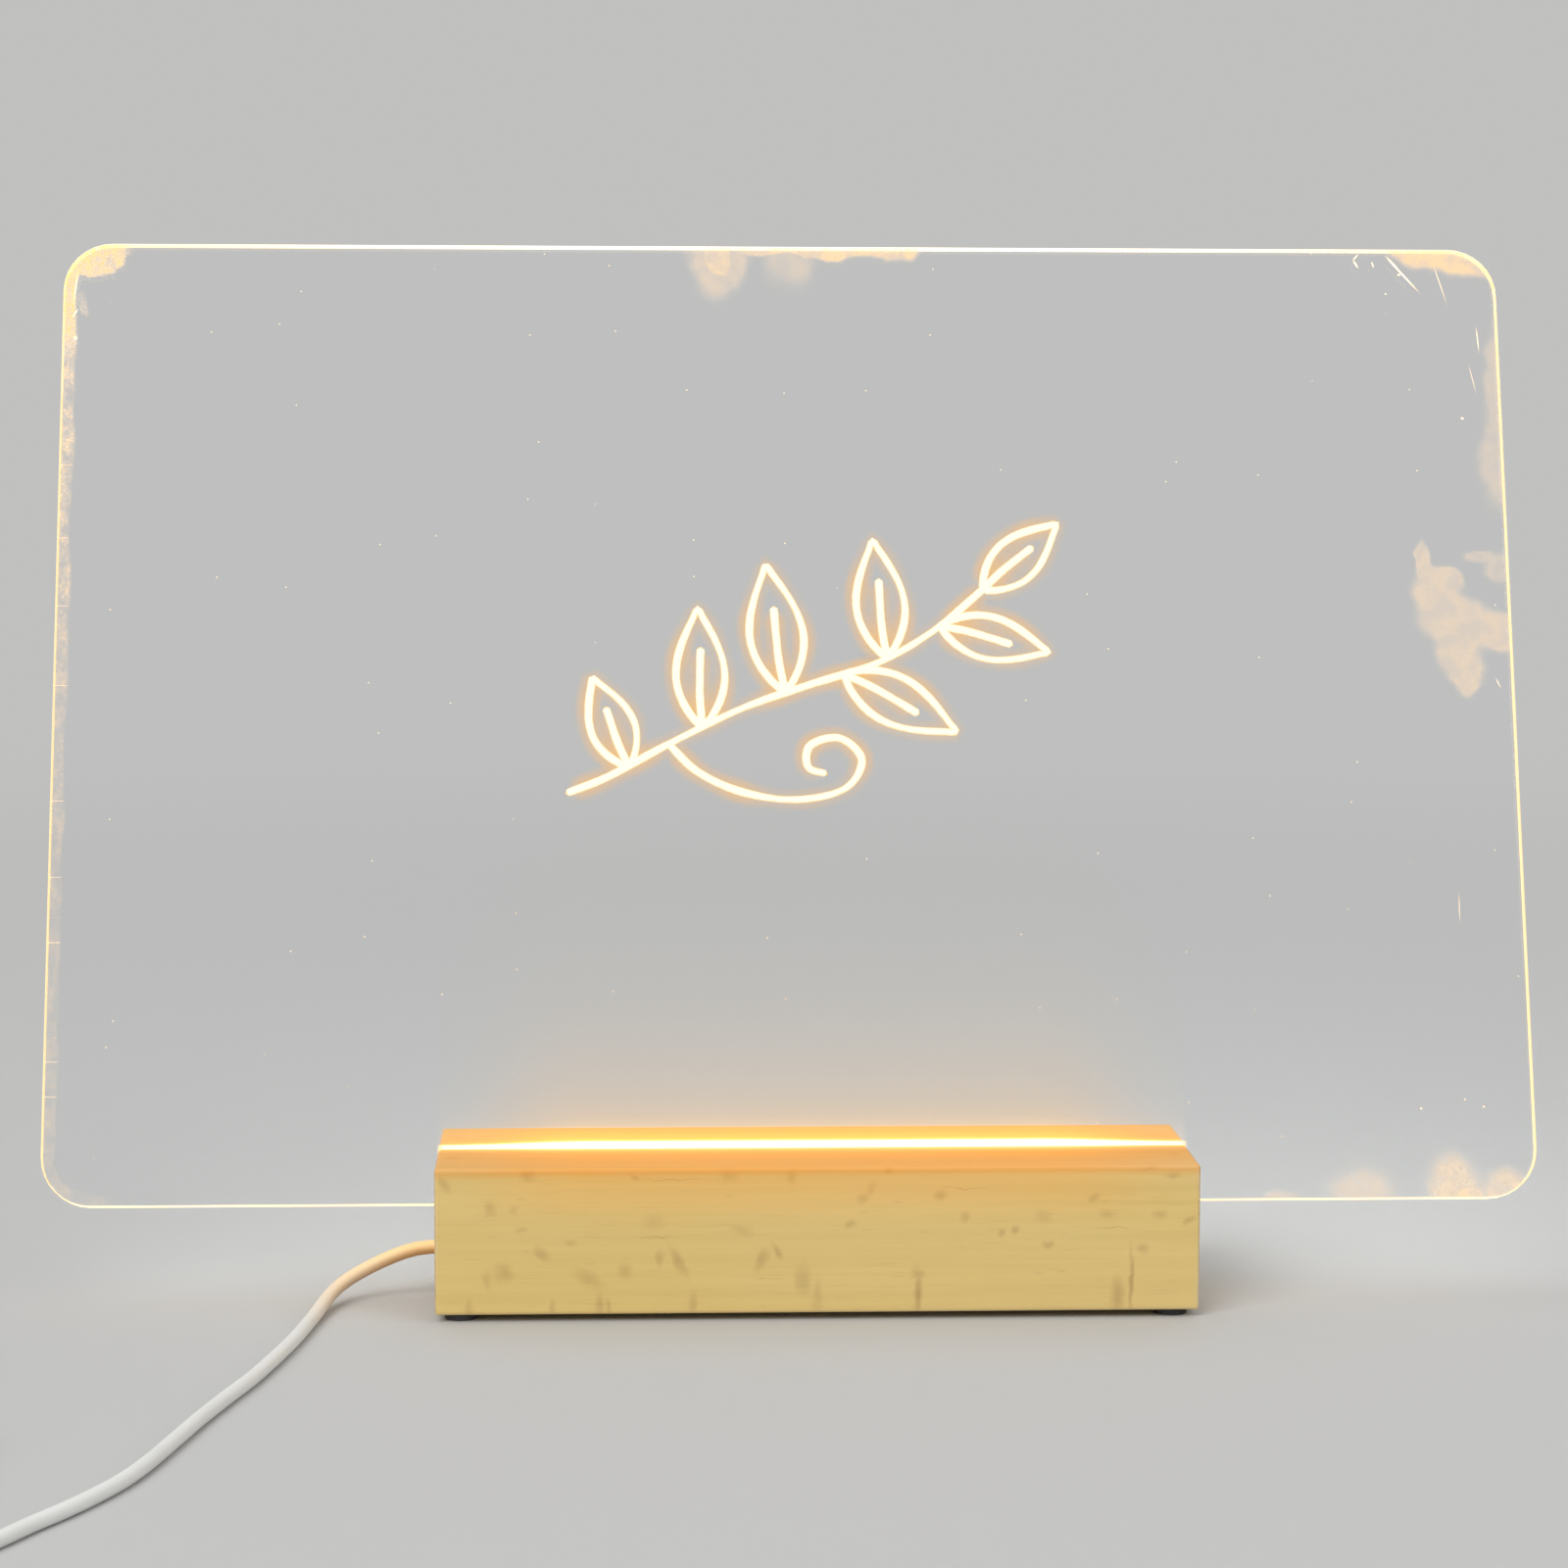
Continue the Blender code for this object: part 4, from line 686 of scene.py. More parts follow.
def plastic(name, colour, darker, roughness, grain=1500, depth=0.02 * MM, tint=None):
    """Moulded plastic or rubber, whose colour a tint may change from place to place."""
    look = Look(name, colour, roughness)
    cloud = look.noise(look.place, 60, 3, 0.5)
    base = look.mixed(look.between(cloud, 0.3, 0.7), colour, darker)
    look.set("Base Color", tint(look, base) if tint else base)
    fine = look.noise(look.place, grain, 2, 0.5)
    look.set("Roughness", look.between(fine, 0.3, 0.7, roughness - 0.05, roughness + 0.07))
    look.bump(fine, depth, 0.35)
    return look.done()


def woven_tape():
    look = Look("woven_tape", (0.02, 0.02, 0.022), 0.8)
    x, y, z = look.axes(look.place)
    slant = look.product(z, 0.6)
    threads = look.calc("SINE", look.product(look.total(x, slant), math.tau / TAPE_THREAD))
    rows = look.calc("SINE", look.product(look.total(y, slant), math.tau / TAPE_THREAD))
    weave = look.product(threads, rows)
    fuzz = look.noise(look.place, 2600, 3, 0.7)
    look.set("Base Color", look.mixed(look.between(weave, -1, 1), (0.012, 0.012, 0.013), (0.04, 0.04, 0.042)))
    look.set("Sheen Weight", 0.3)
    look.bump(look.total(look.product(weave, 0.5), fuzz), 0.08 * MM, 0.6)
    return look.done()


def metal(name, colour, roughness, stretch):
    look = Look(name, colour, roughness, 1.0)
    brushed = look.noise(look.mapped(stretch), 1, 3, 0.5)
    look.set("Base Color", look.mixed(brushed, colour, tuple(part * 0.88 for part in colour)))
    look.set("Roughness", look.between(brushed, 0.3, 0.7, roughness - 0.05, roughness + 0.06))
    look.bump(brushed, 0.003 * MM, 0.2)
    return look.done()


def lamplight(look, jacket):
    """Amber where the lamps shine on the lead beside the base."""
    upward = look.axes(look.add("ShaderNodeNewGeometry").outputs["Normal"])[2]
    amber = look.mixed(look.between(upward, -0.6, 0.8), (0.62, 0.3, 0.07), (1.0, 0.68, 0.3))
    away = look.vector("LENGTH", look.vector("SUBTRACT", look.place, tuple(LEAD_MOUTH)))
    return look.mixed(look.between(away, *LAMPLIT_LEAD, 0.9, 0.0), jacket, amber)


def lamp_lens():
    look = Look("lit_lamp", (1.0, 0.82, 0.45), 0.3)
    off = look.off(look.axes(look.place)[1], SHEET_FOOT.y)
    look.glow(look.between(off, *LENS_EDGE, 1.0, 0.7), 1.5)
    return look.done()


def board_strip():
    """The lamps' circuit board, with a track along each side of them."""
    look = Look("strip_white", STRIP_WHITE, 0.4)
    off = look.off(look.axes(look.place)[1], SHEET_FOOT.y)
    track = look.product(look.between(off, *TRACK_INNER), look.between(off, *TRACK_OUTER, 1.0, 0.0))
    look.set("Base Color", look.mixed(track, STRIP_WHITE, (0.7, 0.68, 0.58)))
    look.bump(look.noise(look.place, 900, 2), 0.02 * MM, 0.3)
    return look.done()


def dress(material, *names):
    for name in names:
        for held in nodes[name].material_slots:
            held.material = material


def named(start):
    return sorted(name for name in nodes if name.startswith(start))


white_abs = plastic("white_abs", (0.8, 0.8, 0.785), (0.77, 0.77, 0.75), 0.36)
white_pvc = plastic("white_pvc", *WHITE_PVC, 0.42, 900)
dark_pvc = plastic("black_pvc", (0.025, 0.025, 0.027), (0.04, 0.04, 0.042), 0.45)
red_pvc = plastic("red_pvc", (0.55, 0.03, 0.02), (0.48, 0.02, 0.015), 0.4)
nylon = plastic("tie_nylon", (0.8, 0.8, 0.75), (0.76, 0.76, 0.7), 0.45)
chip = plastic("chip_black", (0.03, 0.03, 0.032), (0.045, 0.045, 0.045), 0.4)
rubber = plastic("foot_rubber", (0.035, 0.035, 0.036), (0.055, 0.055, 0.055), 0.8, 700, 0.06 * MM)
zinc = metal("zinc_steel", (0.62, 0.63, 0.64), 0.32, (900, 900, 900))
spring_wire = metal("spring_steel", (0.5, 0.5, 0.52), 0.3, (1500, 1500, 300))
brass = metal("contact_brass", (0.83, 0.62, 0.27), 0.26, (1200, 200, 1200))
nickel = metal("plug_nickel", (0.7, 0.7, 0.69), 0.24, (1500, 90, 1500))

dress(clear_sheet(), "acrylic_board")
dress(pale_wood(), "base_block")
dress(ply(), "bottom_plate")
dress(rubber, *named("rubber_foot"))
dress(zinc, *named("plate_screw"), *named("strip_screw"), *named("switch_screw"))
dress(board_strip(), "lamp_strip")
dress(lamp_lens(), *named("led_"))
dress(chip, *named("resistor"))
dress(nylon, "cable_tie")
dress(red_pvc, "wire_red", "switch_wire_in", "switch_wire_out")
dress(dark_pvc, "wire_black", "switch_through_wire")
dress(woven_tape(), "coil_tie")
dress(white_abs, "switch_lower_case", "switch_upper_case", "switch_button", "plug_tongue")
dress(brass, *named("switch_contact"), *named("plug_contact"))
dress(spring_wire, "switch_spring")
dress(nickel, "plug_shell")


# Curves
def smooth_path(route, step):
    """Points about a step apart on a smooth curve through the route's own points."""
    knots = [Vector(point) for point in route]
    knots = [2 * knots[0] - knots[1], *knots, 2 * knots[-1] - knots[-2]]
    steps = 12
    fine = []
    for a, b, c, d in zip(knots, knots[1:], knots[2:], knots[3:]):
        for k in range(steps):
            t = k / steps
            bend = 2 * b + (c - a) * t + (2 * a - 5 * b + 4 * c - d) * t**2
            fine.append((bend + (3 * b - a - 3 * c + d) * t**3) / 2)
    fine.append(knots[-2])
    along = [0.0]
    for a, b in zip(fine, fine[1:]):
        along.append(along[-1] + (b - a).length)
    count = max(2, round(along[-1] / step))
    points = []
    k = 0
    for i in range(count + 1):
        want = along[-1] * i / count
        while k < len(along) - 2 and along[k + 1] < want:
            k += 1
        share = (want - along[k]) / (along[k + 1] - along[k])
        points.append(fine[k].lerp(fine[k + 1], share))
    return points


def tube(name, points, radius, roundness, radii=None):
    """A round tube along the points, as a curve with filled ends."""
    deselect_all()
    bpy.ops.curve.primitive_bezier_curve_add(location=(0, 0, 0))
    made = bpy.context.object
    made.name = name
    curve = made.data
    curve.splines.clear()
    spline = curve.splines.new("POLY")
    spline.points.add(len(points) - 1)
    for k, (knot, point) in enumerate(zip(spline.points, points)):
        knot.co = (*point, 1)
        knot.radius = radii[k] if radii else 1
    curve.dimensions = "3D"
    curve.bevel_depth = radius
    curve.bevel_resolution = roundness
    curve.use_fill_caps = True
    return made


# Lead, from the end of its jacket inside the base to the switch, in metres
LEAD_ROUTE = [
    (-0.0583, -0.016871, 0.0103),
    (-0.0663, -0.016871, 0.0103),
    (-0.0713, -0.016871, 0.0103),
    (-0.0763, -0.017371, 0.0099),
    (-0.0813, -0.018071, 0.0083),
    (-0.0858, -0.018871, 0.0063),
    (-0.0895, -0.020371, 0.0044),
    (-0.0919, -0.024271, 0.0031),
    (-0.0935, -0.030471, 0.0021),
    (-0.0949, -0.039771, 0.0015),
    (-0.0972, -0.056571, 0.0014),
    (-0.0997, -0.071071, 0.0014),
    (-0.1025, -0.085271, 0.0014),
    (-0.1058, -0.098771, 0.0014),
    (-0.1091, -0.112771, 0.0014),
    (-0.1123, -0.128271, 0.0014),
    (-0.1149, -0.140771, 0.0014),
    (-0.1177, -0.151271, 0.0014),
    (-0.1213, -0.160571, 0.0014),
    (-0.1253, -0.168971, 0.0014),
    (-0.1296, -0.176871, 0.0014),
    (-0.1332, -0.184171, 0.0014),
    (-0.1377, -0.191871, 0.0014),
    (-0.1433, -0.197071, 0.0014),
    (-0.1499, -0.198471, 0.0014),
    (-0.1559, -0.195271, 0.0015),
    (-0.1594, -0.189471, 0.0023),
    (-0.1605, -0.183271, 0.0040),
    (-0.1605, -0.176371, 0.0052),
    (-0.1605, -0.171671, 0.0052),
    (-0.1605, -0.166971, 0.0052),
]
LEAD_MOUTH = Vector(LEAD_ROUTE[2])  # in the base's end face

# Rest of the lead, from the switch through the coil to the plug
LINK_START = Vector((-0.1605, -0.126371, 0.0052))
LINK_LENGTH = 26 * MM
LINK_HIDDEN = 9.4 * MM  # how far the cord goes into the switch
COIL_RUN = 3 * MM
COIL_GAP = 0.3 * MM
COIL_MIDDLE_DIAMETER = 32.2 * MM
TURN_PITCH = 3.35 * MM
TURNS_IN_LAYER = 4
COIL_LOW = 2.7 * MM
PLUG_AXIS = 3.9 * MM
TAIL_LENGTH = 20 * MM
TAIL_HIDDEN = 1.4 * MM  # how far the cord goes into the plug's relief


def coil_points(centre, outer, per_turn=48):
    """The coil spirals in on the table, climbs a layer where the spiral reverses, and spirals out."""
    inner = outer - TURN_PITCH * TURNS_IN_LAYER
    lower = TURNS_IN_LAYER * math.tau
    total = 2 * lower + math.pi
    steps = round(total / math.tau * per_turn)
    rate = TURN_PITCH / math.tau
    points = []
    for k in range(steps + 1):
        angle = total * k / steps
        past = angle - lower
        if past < 0:
            radius, climb = outer - rate * angle, 0.0
        elif past < math.pi:
            radius = inner - rate * (past - past**2 / math.pi)
            climb = (1 - math.cos(past)) / 2
        else:
            radius, climb = inner + rate * (past - math.pi), 1.0
        height = COIL_LOW + TURN_PITCH * climb
        points.append(centre + Vector((radius * math.cos(angle), radius * math.sin(angle), height)))
    return points


def rest_of_lead():
    x, y, level = LINK_START
    outer = COIL_MIDDLE_DIAMETER / 2 + TURN_PITCH * TURNS_IN_LAYER / 2
    link = [
        (x, y - LINK_HIDDEN, level),
        (x, y - LINK_HIDDEN / 2, level),
        (x, y, level),
        (x, y + LINK_LENGTH * 0.3, level + (COIL_LOW - level) * 0.3),
        (x, y + LINK_LENGTH * 0.7, COIL_LOW + (level - COIL_LOW) * 0.1),
        (x, y + LINK_LENGTH, COIL_LOW),
    ]
    centre = Vector((x - outer, y + LINK_LENGTH + COIL_GAP + COIL_RUN, 0))
    coil = coil_points(centre, outer)
    end_x, end_y, high = coil[-1]
    start = end_y - COIL_RUN - COIL_GAP
    tail = [
        (end_x, end_y - COIL_RUN, high),
        (end_x, start - TAIL_LENGTH * 0.2, high),
        (end_x, start - TAIL_LENGTH * 0.5, (high + PLUG_AXIS) / 2),
        (end_x, start - TAIL_LENGTH * 0.8, PLUG_AXIS),
        (end_x, start - TAIL_LENGTH, PLUG_AXIS),
        (end_x, start - TAIL_LENGTH - TAIL_HIDDEN, PLUG_AXIS),
    ]
    return [*smooth_path(link, 2 * MM), *coil, *smooth_path(tail, 2 * MM)]


# Plug's overmould
FACE_REACH = 0.1 * MM  # a face this near a plane counts as on it
LEVEL_SHARE = 0.99  # a face whose normal is this nearly upright counts as level
SHARP_EDGE = math.radians(40)
SMOOTH_EDGE = math.radians(30)
PLUG_LOW, PLUG_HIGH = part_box("plug_body")
SHELL_LOW, SHELL_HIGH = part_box("plug_shell")
RELIEF_LENGTH = 8 * MM
RELIEF_RADIUS = 3 * MM
RELIEF_END_RADIUS = 2.1 * MM
RELIEF_BORE = 1.5 * MM
RELIEF_BORE_DEPTH = 2 * MM
RELIEF_RINGS = 5
RING_DEPTH = 0.4 * MM
RING_STEP_SHARE = 0.1
RING_VALLEY_SHARE = 0.28
RING_ROUND = 0.08 * MM
PLUG_EDGE = 1.1 * MM
PLUG_ROUND = 0.12 * MM
SHOULDER_LENGTH = 5 * MM
SHOULDER_SHARE = 0.82
POCKET_GAP = 0.25 * MM
POCKET_DEPTH = 6 * MM
GRIP_START = 7.6 * MM  # from the plug's front
GRIP_LENGTH = 9.8 * MM
GRIP_MARGIN = 1.1 * MM
GRIP_DEPTH = 0.45 * MM
RIDGES = 5
RIDGE_WIDTH = 0.8 * MM
RIDGE_END_GAP = 0.6 * MM
RIDGE_ROUND = 0.24 * MM
RIDGE_HEIGHT_SHARE = 1.6  # of the panel's depth, half of it sunk in the panel


def add_block(place, size):
    """A block at its size and place, with its object at the origin."""
    deselect_all()
    bpy.ops.mesh.primitive_cube_add(size=1, location=place, scale=size)
    bpy.ops.object.transform_apply(location=True, rotation=True, scale=True)
    return bpy.context.object


def pick_faces(obj, passes):
    """Selects, in edit mode, the faces whose middle and normal pass a test."""
    bpy.ops.mesh.select_mode(type="FACE")
    bpy.ops.mesh.select_all(action="DESELECT")
    shape = bmesh.from_edit_mesh(obj.data)
    for face in shape.faces:
        face.select_set(passes(face.calc_center_median(), face.normal))
    bmesh.update_edit_mesh(obj.data)


def cut_across(y):
    """Cuts the mesh in edit mode along a plane that faces down the plug."""
    bpy.ops.mesh.select_all(action="SELECT")
    bpy.ops.mesh.bisect(plane_co=(0, y, 0), plane_no=(0, 1, 0))


def push(shift):
    bpy.ops.mesh.extrude_region_move(TRANSFORM_OT_translate={"value": shift})


def grow(share_x, share_z, centre):
    bpy.ops.transform.resize(value=(share_x, 1, share_z), center_override=centre)


def plug_block():
    """The overmould's block, with the shell's pocket in front and a sunk grip panel above and below."""
    back = PLUG_HIGH.y - RELIEF_LENGTH
    middle = (PLUG_LOW + PLUG_HIGH) / 2
    middle.y = (PLUG_LOW.y + back) / 2
    size = PLUG_HIGH - PLUG_LOW
    size.y = back - PLUG_LOW.y
    block = add_block(middle, size)
    bpy.ops.object.mode_set(mode="EDIT")

    cut_across(back - SHOULDER_LENGTH)
    pick_faces(block, lambda place, normal: place.y > back - FACE_REACH)
    grow(SHOULDER_SHARE, SHOULDER_SHARE, middle)
    bpy.ops.mesh.select_all(action="SELECT")
    bpy.ops.mesh.bevel(offset=PLUG_EDGE, segments=4, affect="EDGES")

    pick_faces(block, lambda place, normal: place.y < PLUG_LOW.y + FACE_REACH / 2)
    pocket_width = SHELL_HIGH.x - SHELL_LOW.x + 2 * POCKET_GAP
    pocket_height = SHELL_HIGH.z - SHELL_LOW.z + 2 * POCKET_GAP
    inset = (size.z - 2 * PLUG_EDGE - pocket_height) / 2
    bpy.ops.mesh.inset(thickness=inset)
    grow(pocket_width / (size.x - 2 * PLUG_EDGE - 2 * inset), 1, middle)
    push((0, POCKET_DEPTH, 0))

    start = PLUG_LOW.y + GRIP_START
    end = start + GRIP_LENGTH
    cut_across(start)
    cut_across(end)
    for way in (1, -1):

        def on_grip(place, normal):
            outside = (place.z - middle.z) * way > size.z / 2 - FACE_REACH
            return outside and normal.z * way > LEVEL_SHARE and start < place.y < end

        pick_faces(block, on_grip)
        bpy.ops.mesh.inset(thickness=GRIP_MARGIN)
        push((0, 0, -way * GRIP_DEPTH))
    bpy.ops.object.mode_set(mode="OBJECT")
    soften(block, PLUG_ROUND, 2)
    return block


def soften(obj, width, segments):
    """Rounds the edges that are still sharp."""
    choose(obj)
    bevel = obj.modifiers.new("soft_edges", "BEVEL")
    bevel.width = width
    bevel.segments = segments
    bevel.limit_method = "ANGLE"
    bevel.angle_limit = SHARP_EDGE
    bpy.ops.object.modifier_apply(modifier=bevel.name)


def plug_ridge():
    """One rounded bar across the grip panel, on top and nearest the front."""
    width = PLUG_HIGH.x - PLUG_LOW.x - 2 * (PLUG_EDGE + GRIP_MARGIN + RIDGE_END_GAP)
    pitch = GRIP_LENGTH / (RIDGES + 1)
    place = ((PLUG_LOW.x + PLUG_HIGH.x) / 2, PLUG_LOW.y + GRIP_START + pitch, PLUG_HIGH.z - GRIP_DEPTH)
    ridge = add_block(place, (width, RIDGE_WIDTH, RIDGE_HEIGHT_SHARE * GRIP_DEPTH))
    soften(ridge, RIDGE_ROUND, 3)
    return ridge, pitch


def copied(obj, shift):
    twin = obj.copy()
    twin.data = obj.data.copy()
    bpy.context.collection.objects.link(twin)
    for corner in twin.data.vertices:
        corner.co += Vector(shift)
    return twin


def plug_relief():
    """The ringed strain relief: a circle pushed along the cord, in and out at each ring, then back in."""
    start = PLUG_HIGH.y - RELIEF_LENGTH - PLUG_EDGE
    centre = Vector(((PLUG_LOW.x + PLUG_HIGH.x) / 2, start, (PLUG_LOW.z + PLUG_HIGH.z) / 2))
    deselect_all()
    bpy.ops.mesh.primitive_circle_add(
        vertices=40, radius=RELIEF_RADIUS, fill_type="NGON", location=centre, rotation=(math.pi / 2, 0, 0)
    )
    relief = bpy.context.object
    bpy.ops.object.transform_apply(location=True, rotation=True, scale=True)
    bpy.ops.object.mode_set(mode="EDIT")
    bpy.ops.mesh.select_all(action="SELECT")
    radius = RELIEF_RADIUS

    def station(step, wanted):
        nonlocal radius
        push((0, step, 0))
        grow(wanted / radius, wanted / radius, centre)
        radius = wanted

    station(PLUG_EDGE, RELIEF_RADIUS)
    pitch = RELIEF_LENGTH / RELIEF_RINGS
    for k in range(RELIEF_RINGS):
        outer = RELIEF_RADIUS + (RELIEF_END_RADIUS - RELIEF_RADIUS) * (k + 1) / RELIEF_RINGS
        inner = outer - RING_DEPTH if k < RELIEF_RINGS - 1 else outer
        station(pitch * RING_STEP_SHARE, inner)
        station(pitch * RING_VALLEY_SHARE, inner)
        station(pitch * RING_STEP_SHARE, outer)
        station(pitch * (1 - 2 * RING_STEP_SHARE - RING_VALLEY_SHARE), outer)
    station(0, RELIEF_BORE)
    station(-RELIEF_BORE_DEPTH, RELIEF_BORE)
    bpy.ops.mesh.select_all(action="SELECT")
    bpy.ops.mesh.normals_make_consistent(inside=False)
    bpy.ops.object.mode_set(mode="OBJECT")
    soften(relief, RING_ROUND, 2)
    return relief


def add_plug_grip():
    block = plug_block()
    ridge, pitch = plug_ridge()
    ridges = [ridge]
    below = PLUG_LOW.z + PLUG_HIGH.z - 2 * (PLUG_HIGH.z - GRIP_DEPTH)
    for k in range(RIDGES):
        if k:
            ridges.append(copied(ridge, (0, k * pitch, 0)))
        ridges.append(copied(ridge, (0, k * pitch, below)))
    grip = join_all("plug_grip", [block, plug_relief(), *ridges])
    bpy.ops.object.shade_smooth_by_angle(angle=SMOOTH_EDGE)
    grip.data.materials.clear()
    grip.data.materials.append(white_pvc)
    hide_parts("plug_body")
    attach(grip, "base")
    return grip


def add_lead():
    """The two lengths of the lead, on either side of the switch."""
    plug = [add_plug_grip(), *(nodes[name] for name in named("plug_") if name != "plug_body")]

    points = smooth_path(LEAD_ROUTE, 2.5 * MM)
    first = tube("lead_to_switch", points, CORD_DIAMETER / 2, 5)
    first.data.materials.append(plastic("white_pvc_lead", *WHITE_PVC, 0.42, 900, tint=lamplight))
    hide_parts("cord_lead")
    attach(first, "base")

    points = rest_of_lead()
    second = tube("lead_to_plug", points, CORD_DIAMETER / 2, 3)
    second.data.materials.append(white_pvc)
    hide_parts("cord_link", "cord_coil", "cord_tail")
    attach(second, "base")


add_lead()


# Sprig drawn on the sheet, across and up the sheet in metres
STROKE_RADIUS = 0.85 * MM
STROKE_HEIGHT = 0.22 * MM
STROKE_STEP = 0.6 * MM
HALO_RADIUS = 3.4 * MM
HALO_HEIGHT = 0.05 * MM
HALO_STEP = 1.2 * MM
INK_GAP = 0.01 * MM
SLOW_WAVE = 7 * MM  # how a line's width wanders along it
SLOW_WAVE_SHARE = 0.08
QUICK_WAVE = 2.3 * MM
QUICK_WAVE_SHARE = 0.05
LINE_END_SHARE = 0.12
LEAF_FULLNESS = 0.85
VEIN_SHARES = ((0.0, 0.0), (0.25, 0.03), (0.5, 0.0), (0.68, -0.03))  # along a leaf and across it
STEM = [
    (-0.046, 0.0835),
    (-0.037, 0.0872),
    (-0.025, 0.0938),
    (-0.010, 0.1012),
    (0.004, 0.1062),
    (0.018, 0.1108),
    (0.030, 0.1178),
    (0.0415, 0.1276),
]
TENDRIL = [
    (-0.025, 0.0938),
    (-0.019, 0.0880),
    (-0.010, 0.0838),
    (0.001, 0.0822),
    (0.011, 0.0845),
    (0.0145, 0.0905),
    (0.010, 0.0950),
    (0.004, 0.0935),
    (0.0035, 0.0890),
    (0.0075, 0.0875),
]
# Leaves: where each starts, the way it points in degrees, its length and its width
LEAVES = (
    (-0.033, 0.0890, 112, 20 * MM, 9 * MM),
    (-0.018, 0.0972, 92, 25 * MM, 10 * MM),
    (-0.001, 0.1046, 98, 27 * MM, 11 * MM),
    (0.011, 0.1085, -28, 26 * MM, 10 * MM),
    (0.020, 0.1118, 96, 25 * MM, 10 * MM),
    (0.031, 0.1186, -14, 23 * MM, 9 * MM),
    (0.040, 0.1262, 42, 21 * MM, 9 * MM),
)


def on_sheet(across, up, lift=0.0):
    """A point on the sheet's front face, or lifted off it."""
    leaned = Vector((across, -SHEET_THICKNESS / 2 - lift, up))
    return SHEET_FOOT + Matrix.Rotation(-LEAN, 3, "X") @ leaned


def leaf(start_across, start_up, way, length, width):
    """One leaf as a single line that goes out along one side and comes back along the other."""
    turn = Matrix.Rotation(math.radians(way), 2)
    steps = 14
    line = []
    for k in range(2 * steps + 1):
        t = k / steps
        side = 1 if t <= 1 else -1
        share = t if t <= 1 else 2 - t
        swell = math.sin(math.pi * share**LEAF_FULLNESS) * width / 2
        spot = turn @ Vector((length * share, side * swell))
        line.append((start_across + spot.x, start_up + spot.y))
    return line


def vein(start_across, start_up, way, length, width):
    """The short line along the middle of a leaf."""
    turn = Matrix.Rotation(math.radians(way), 2)
    line = []
    for share, sway in VEIN_SHARES:
        spot = turn @ Vector((length * share, width * sway))
        line.append((start_across + spot.x, start_up + spot.y))
    return line


def drawn_lines():
    lines = [STEM, TENDRIL]
    for one in LEAVES:
        lines.append(leaf(*one))
        lines.append(vein(*one))
    return lines


def flattened_line(name, line, radius, height, step, back_share):
    """A low, round-backed line on the sheet's front face, with how near its middle each point is."""
    points = smooth_path([(across, 0, up) for across, up in line], step)
    count = len(points)
    radii = []
    for k in range(count):
        to_end = min(k, count - 1 - k) * step
        ended = min(1.0, to_end / radius)
        slow = SLOW_WAVE_SHARE * math.sin(k * step / SLOW_WAVE)
        quick = QUICK_WAVE_SHARE * math.sin(k * step / QUICK_WAVE)
        radii.append(max(LINE_END_SHARE, math.sqrt(1 - (1 - ended) ** 2)) * (1 + slow + quick))
    made = tube(name, points, radius, 3, radii)
    choose(made)
    bpy.ops.object.convert(target="MESH")
    made = bpy.context.object
    bpy.ops.object.mode_set(mode="EDIT")
    bpy.ops.mesh.select_all(action="SELECT")
    bpy.ops.mesh.remove_doubles(threshold=INK_GAP)
    bpy.ops.mesh.normals_make_consistent(inside=False)
    bpy.ops.object.mode_set(mode="OBJECT")
    shares = []
    for corner in made.data.vertices:
        share = -corner.co.y / radius
        shares.append(share if share > 0 else -share * back_share)
        corner.co = on_sheet(corner.co.x, corner.co.z, height * max(0.0, share) + INK_GAP)
    made.data.attributes.new("middle_share", "FLOAT", "POINT").data.foreach_set("value", shares)
    return made


def middle_share(look):
    return look.add("ShaderNodeAttribute", attribute_name="middle_share").outputs["Fac"]


def ink():
    look = Look("glowing_ink", (0.1, 0.07, 0.04), 0.5)
    patchy = look.noise(look.place, 700, 3)
    share = look.total(middle_share(look), look.between(patchy, 0.3, 0.7, -0.12, 0.06))
    stops = ((0.0, (1.0, 0.48, 0.1)), (0.35, (1.0, 0.72, 0.3)), (0.7, (1.0, 0.95, 0.8)))
    look.set("Emission Color", look.ramp(share, *stops))
    look.set("Emission Strength", 1.0)
    return look.done(lights_others=False)


def halo():
    look = Look("ink_halo", AMBER, 1.0)
    share = look.calc("POWER", middle_share(look), 5.0)
    light = look.add("ShaderNodeEmission")
    light.inputs["Color"].default_value = (*AMBER, 1)
    clear = look.add("ShaderNodeBsdfTransparent")
    look.surface = look.mix_shaders(look.product(share, 0.5), clear.outputs[0], light.outputs[0])
    return look.done(lights_others=False)


def add_sprig():
    strokes = []
    glows = []
    for k, line in enumerate(drawn_lines()):
        strokes.append(flattened_line(f"stroke_{k}", line, STROKE_RADIUS, STROKE_HEIGHT, STROKE_STEP, 1.0))
        glows.append(flattened_line(f"glow_{k}", line, HALO_RADIUS, HALO_HEIGHT, HALO_STEP, 0.0))
    sprig = join_all("drawn_sprig", strokes)
    glow = join_all("drawn_sprig_glow", glows)
    for made, material in ((sprig, ink()), (glow, halo())):
        made.data.materials.clear()
        made.data.materials.append(material)
        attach(made, "board")
    glow.visible_shadow = False


add_sprig()


# Floor, background and light
FLOOR_RADIUS = 30
FLOOR_FADE = (0.3, 1.2)  # the floor turns into the background over this distance
WORLD_LIGHT = 0.45
LAMP_SIZE = 2.0
LAMPS = (
    ("key_light", (-1.5, -2.3, 2.2), 72),
    ("fill_light", (2.0, -1.2, 1.8), 17),
    ("top_light", (0.2, 1.2, 2.4), 10),
)


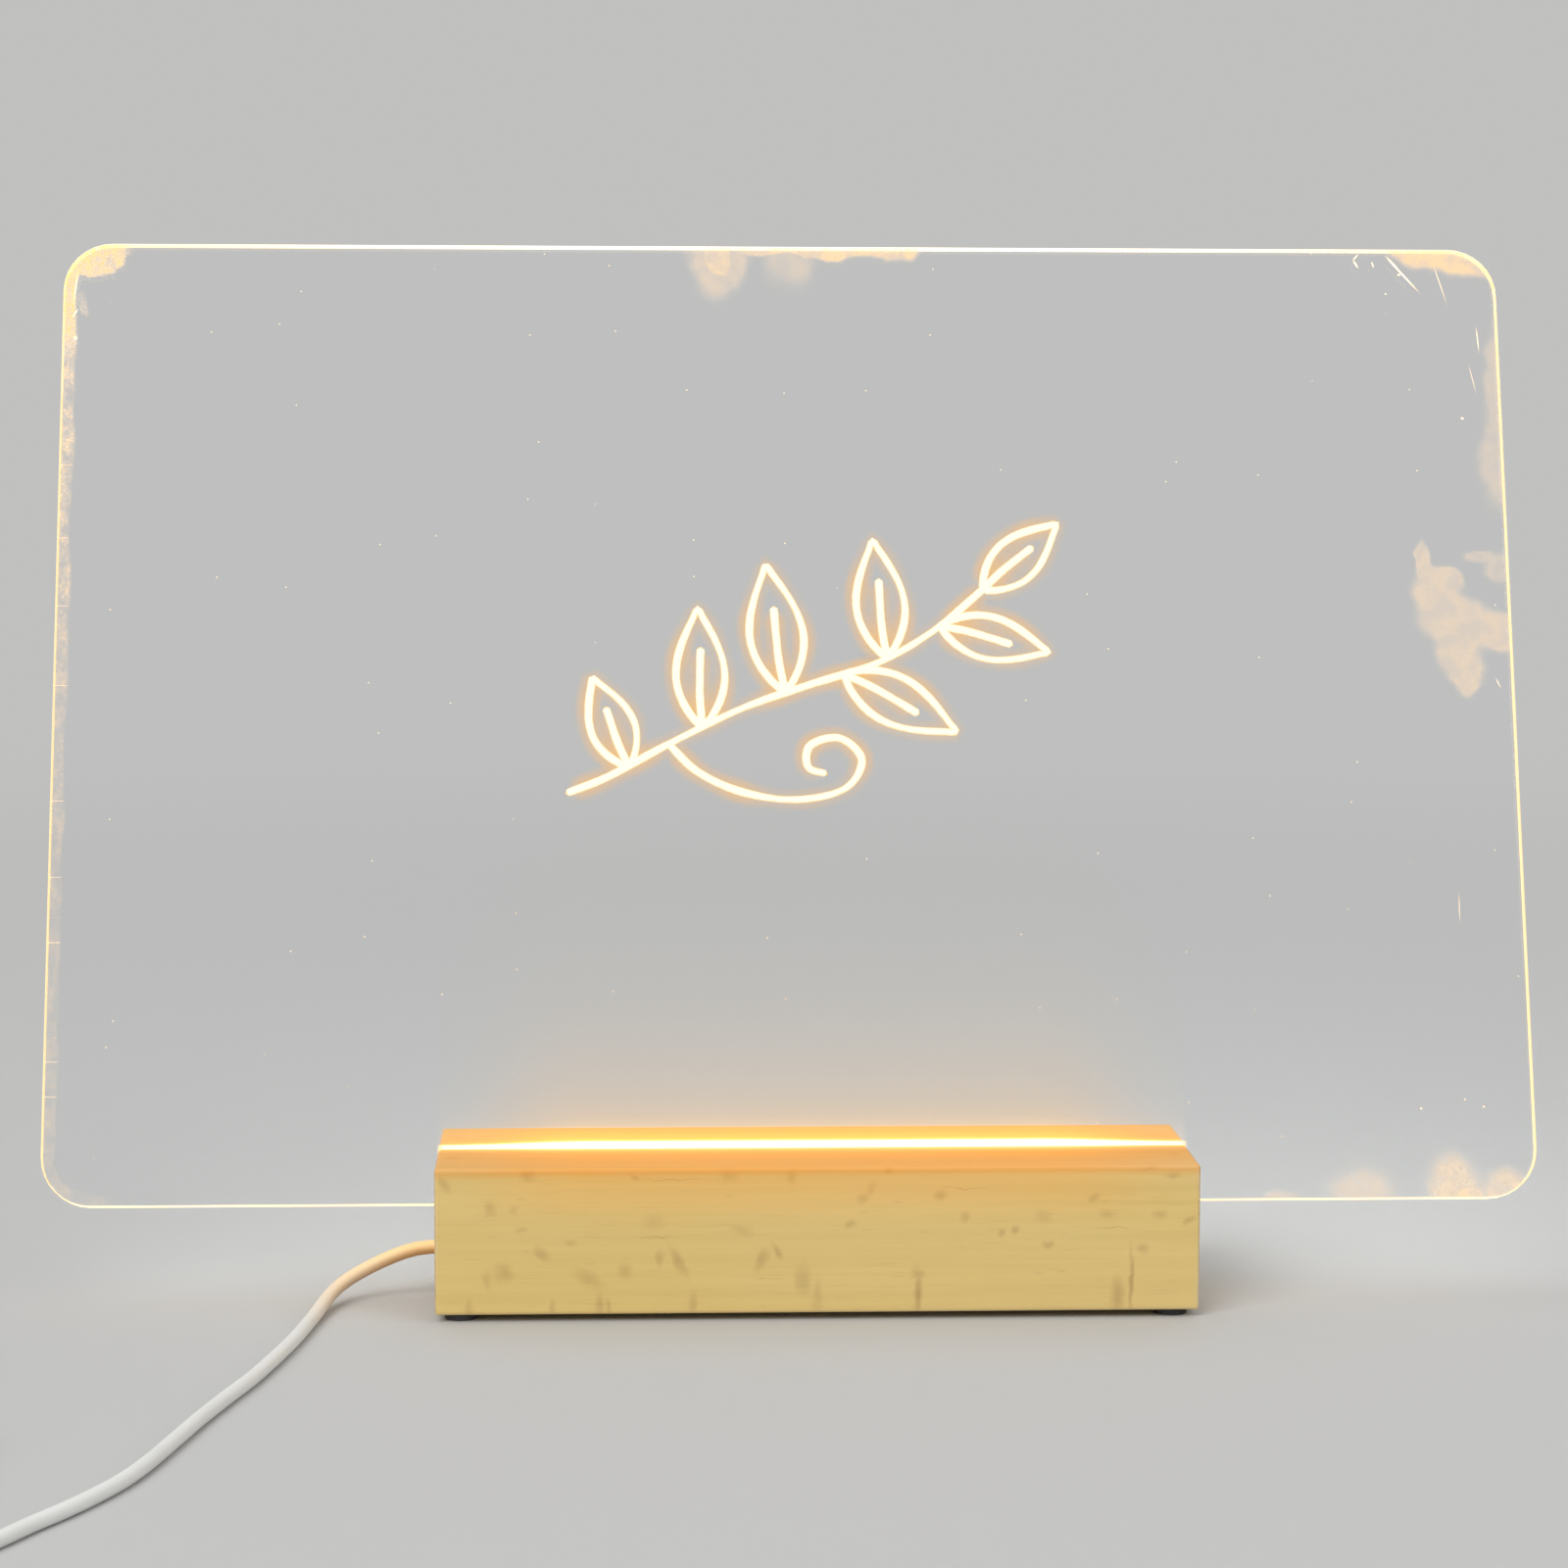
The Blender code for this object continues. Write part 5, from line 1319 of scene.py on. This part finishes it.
def seen_rays(look):
    """1 for the rays that show a surface rather than light it."""
    path = look.add("ShaderNodeLightPath").outputs
    return look.most(path["Is Camera Ray"], path["Is Glossy Ray"], path["Is Transmission Ray"])


def floor_finish():
    look = Look("pale_floor", PALE_GREY, 0.8)
    plain = look.add("ShaderNodeEmission")
    plain.inputs["Color"].default_value = (*PALE_GREY, 1)
    far = look.between(look.vector("LENGTH", look.place), *FLOOR_FADE)
    look.surface = look.mix_shaders(look.product(far, seen_rays(look)), look.surface, plain.outputs[0])
    return look.done()


def add_floor():
    deselect_all()
    bpy.ops.mesh.primitive_circle_add(vertices=64, radius=FLOOR_RADIUS, fill_type="NGON", location=(0, 0, 0))
    floor = bpy.context.object
    floor.name = "floor"
    floor.data.materials.append(floor_finish())


def add_world():
    world = bpy.data.worlds.new("studio")
    bpy.context.scene.world = world
    world.use_nodes = True
    tree = world.node_tree
    lit = tree.nodes["Background"]
    lit.inputs["Color"].default_value = (1, 1, 1, 1)
    lit.inputs["Strength"].default_value = WORLD_LIGHT
    seen = tree.nodes.new("ShaderNodeBackground")
    seen.inputs["Color"].default_value = (*PALE_GREY, 1)
    path = tree.nodes.new("ShaderNodeLightPath").outputs
    share = path["Is Camera Ray"]
    for ray in ("Is Glossy Ray", "Is Transmission Ray"):
        either = tree.nodes.new("ShaderNodeMath")
        either.operation = "MAXIMUM"
        tree.links.new(share, either.inputs[0])
        tree.links.new(path[ray], either.inputs[1])
        share = either.outputs[0]
    mix = tree.nodes.new("ShaderNodeMixShader")
    tree.links.new(share, mix.inputs[0])
    tree.links.new(lit.outputs[0], mix.inputs[1])
    tree.links.new(seen.outputs[0], mix.inputs[2])
    tree.links.new(mix.outputs[0], tree.nodes["World Output"].inputs["Surface"])


def add_lamp(name, place, power):
    """A large square lamp that faces the middle of the floor."""
    bpy.ops.object.light_add(type="AREA", location=place)
    lamp = bpy.context.object
    lamp.name = name
    lamp.data.size = LAMP_SIZE
    lamp.data.energy = power
    lamp.rotation_euler = (-Vector(place)).to_track_quat("-Z", "Y").to_euler()


add_floor()
add_world()
for one in LAMPS:
    add_lamp(*one)
bpy.context.scene.view_settings.view_transform = "Standard"
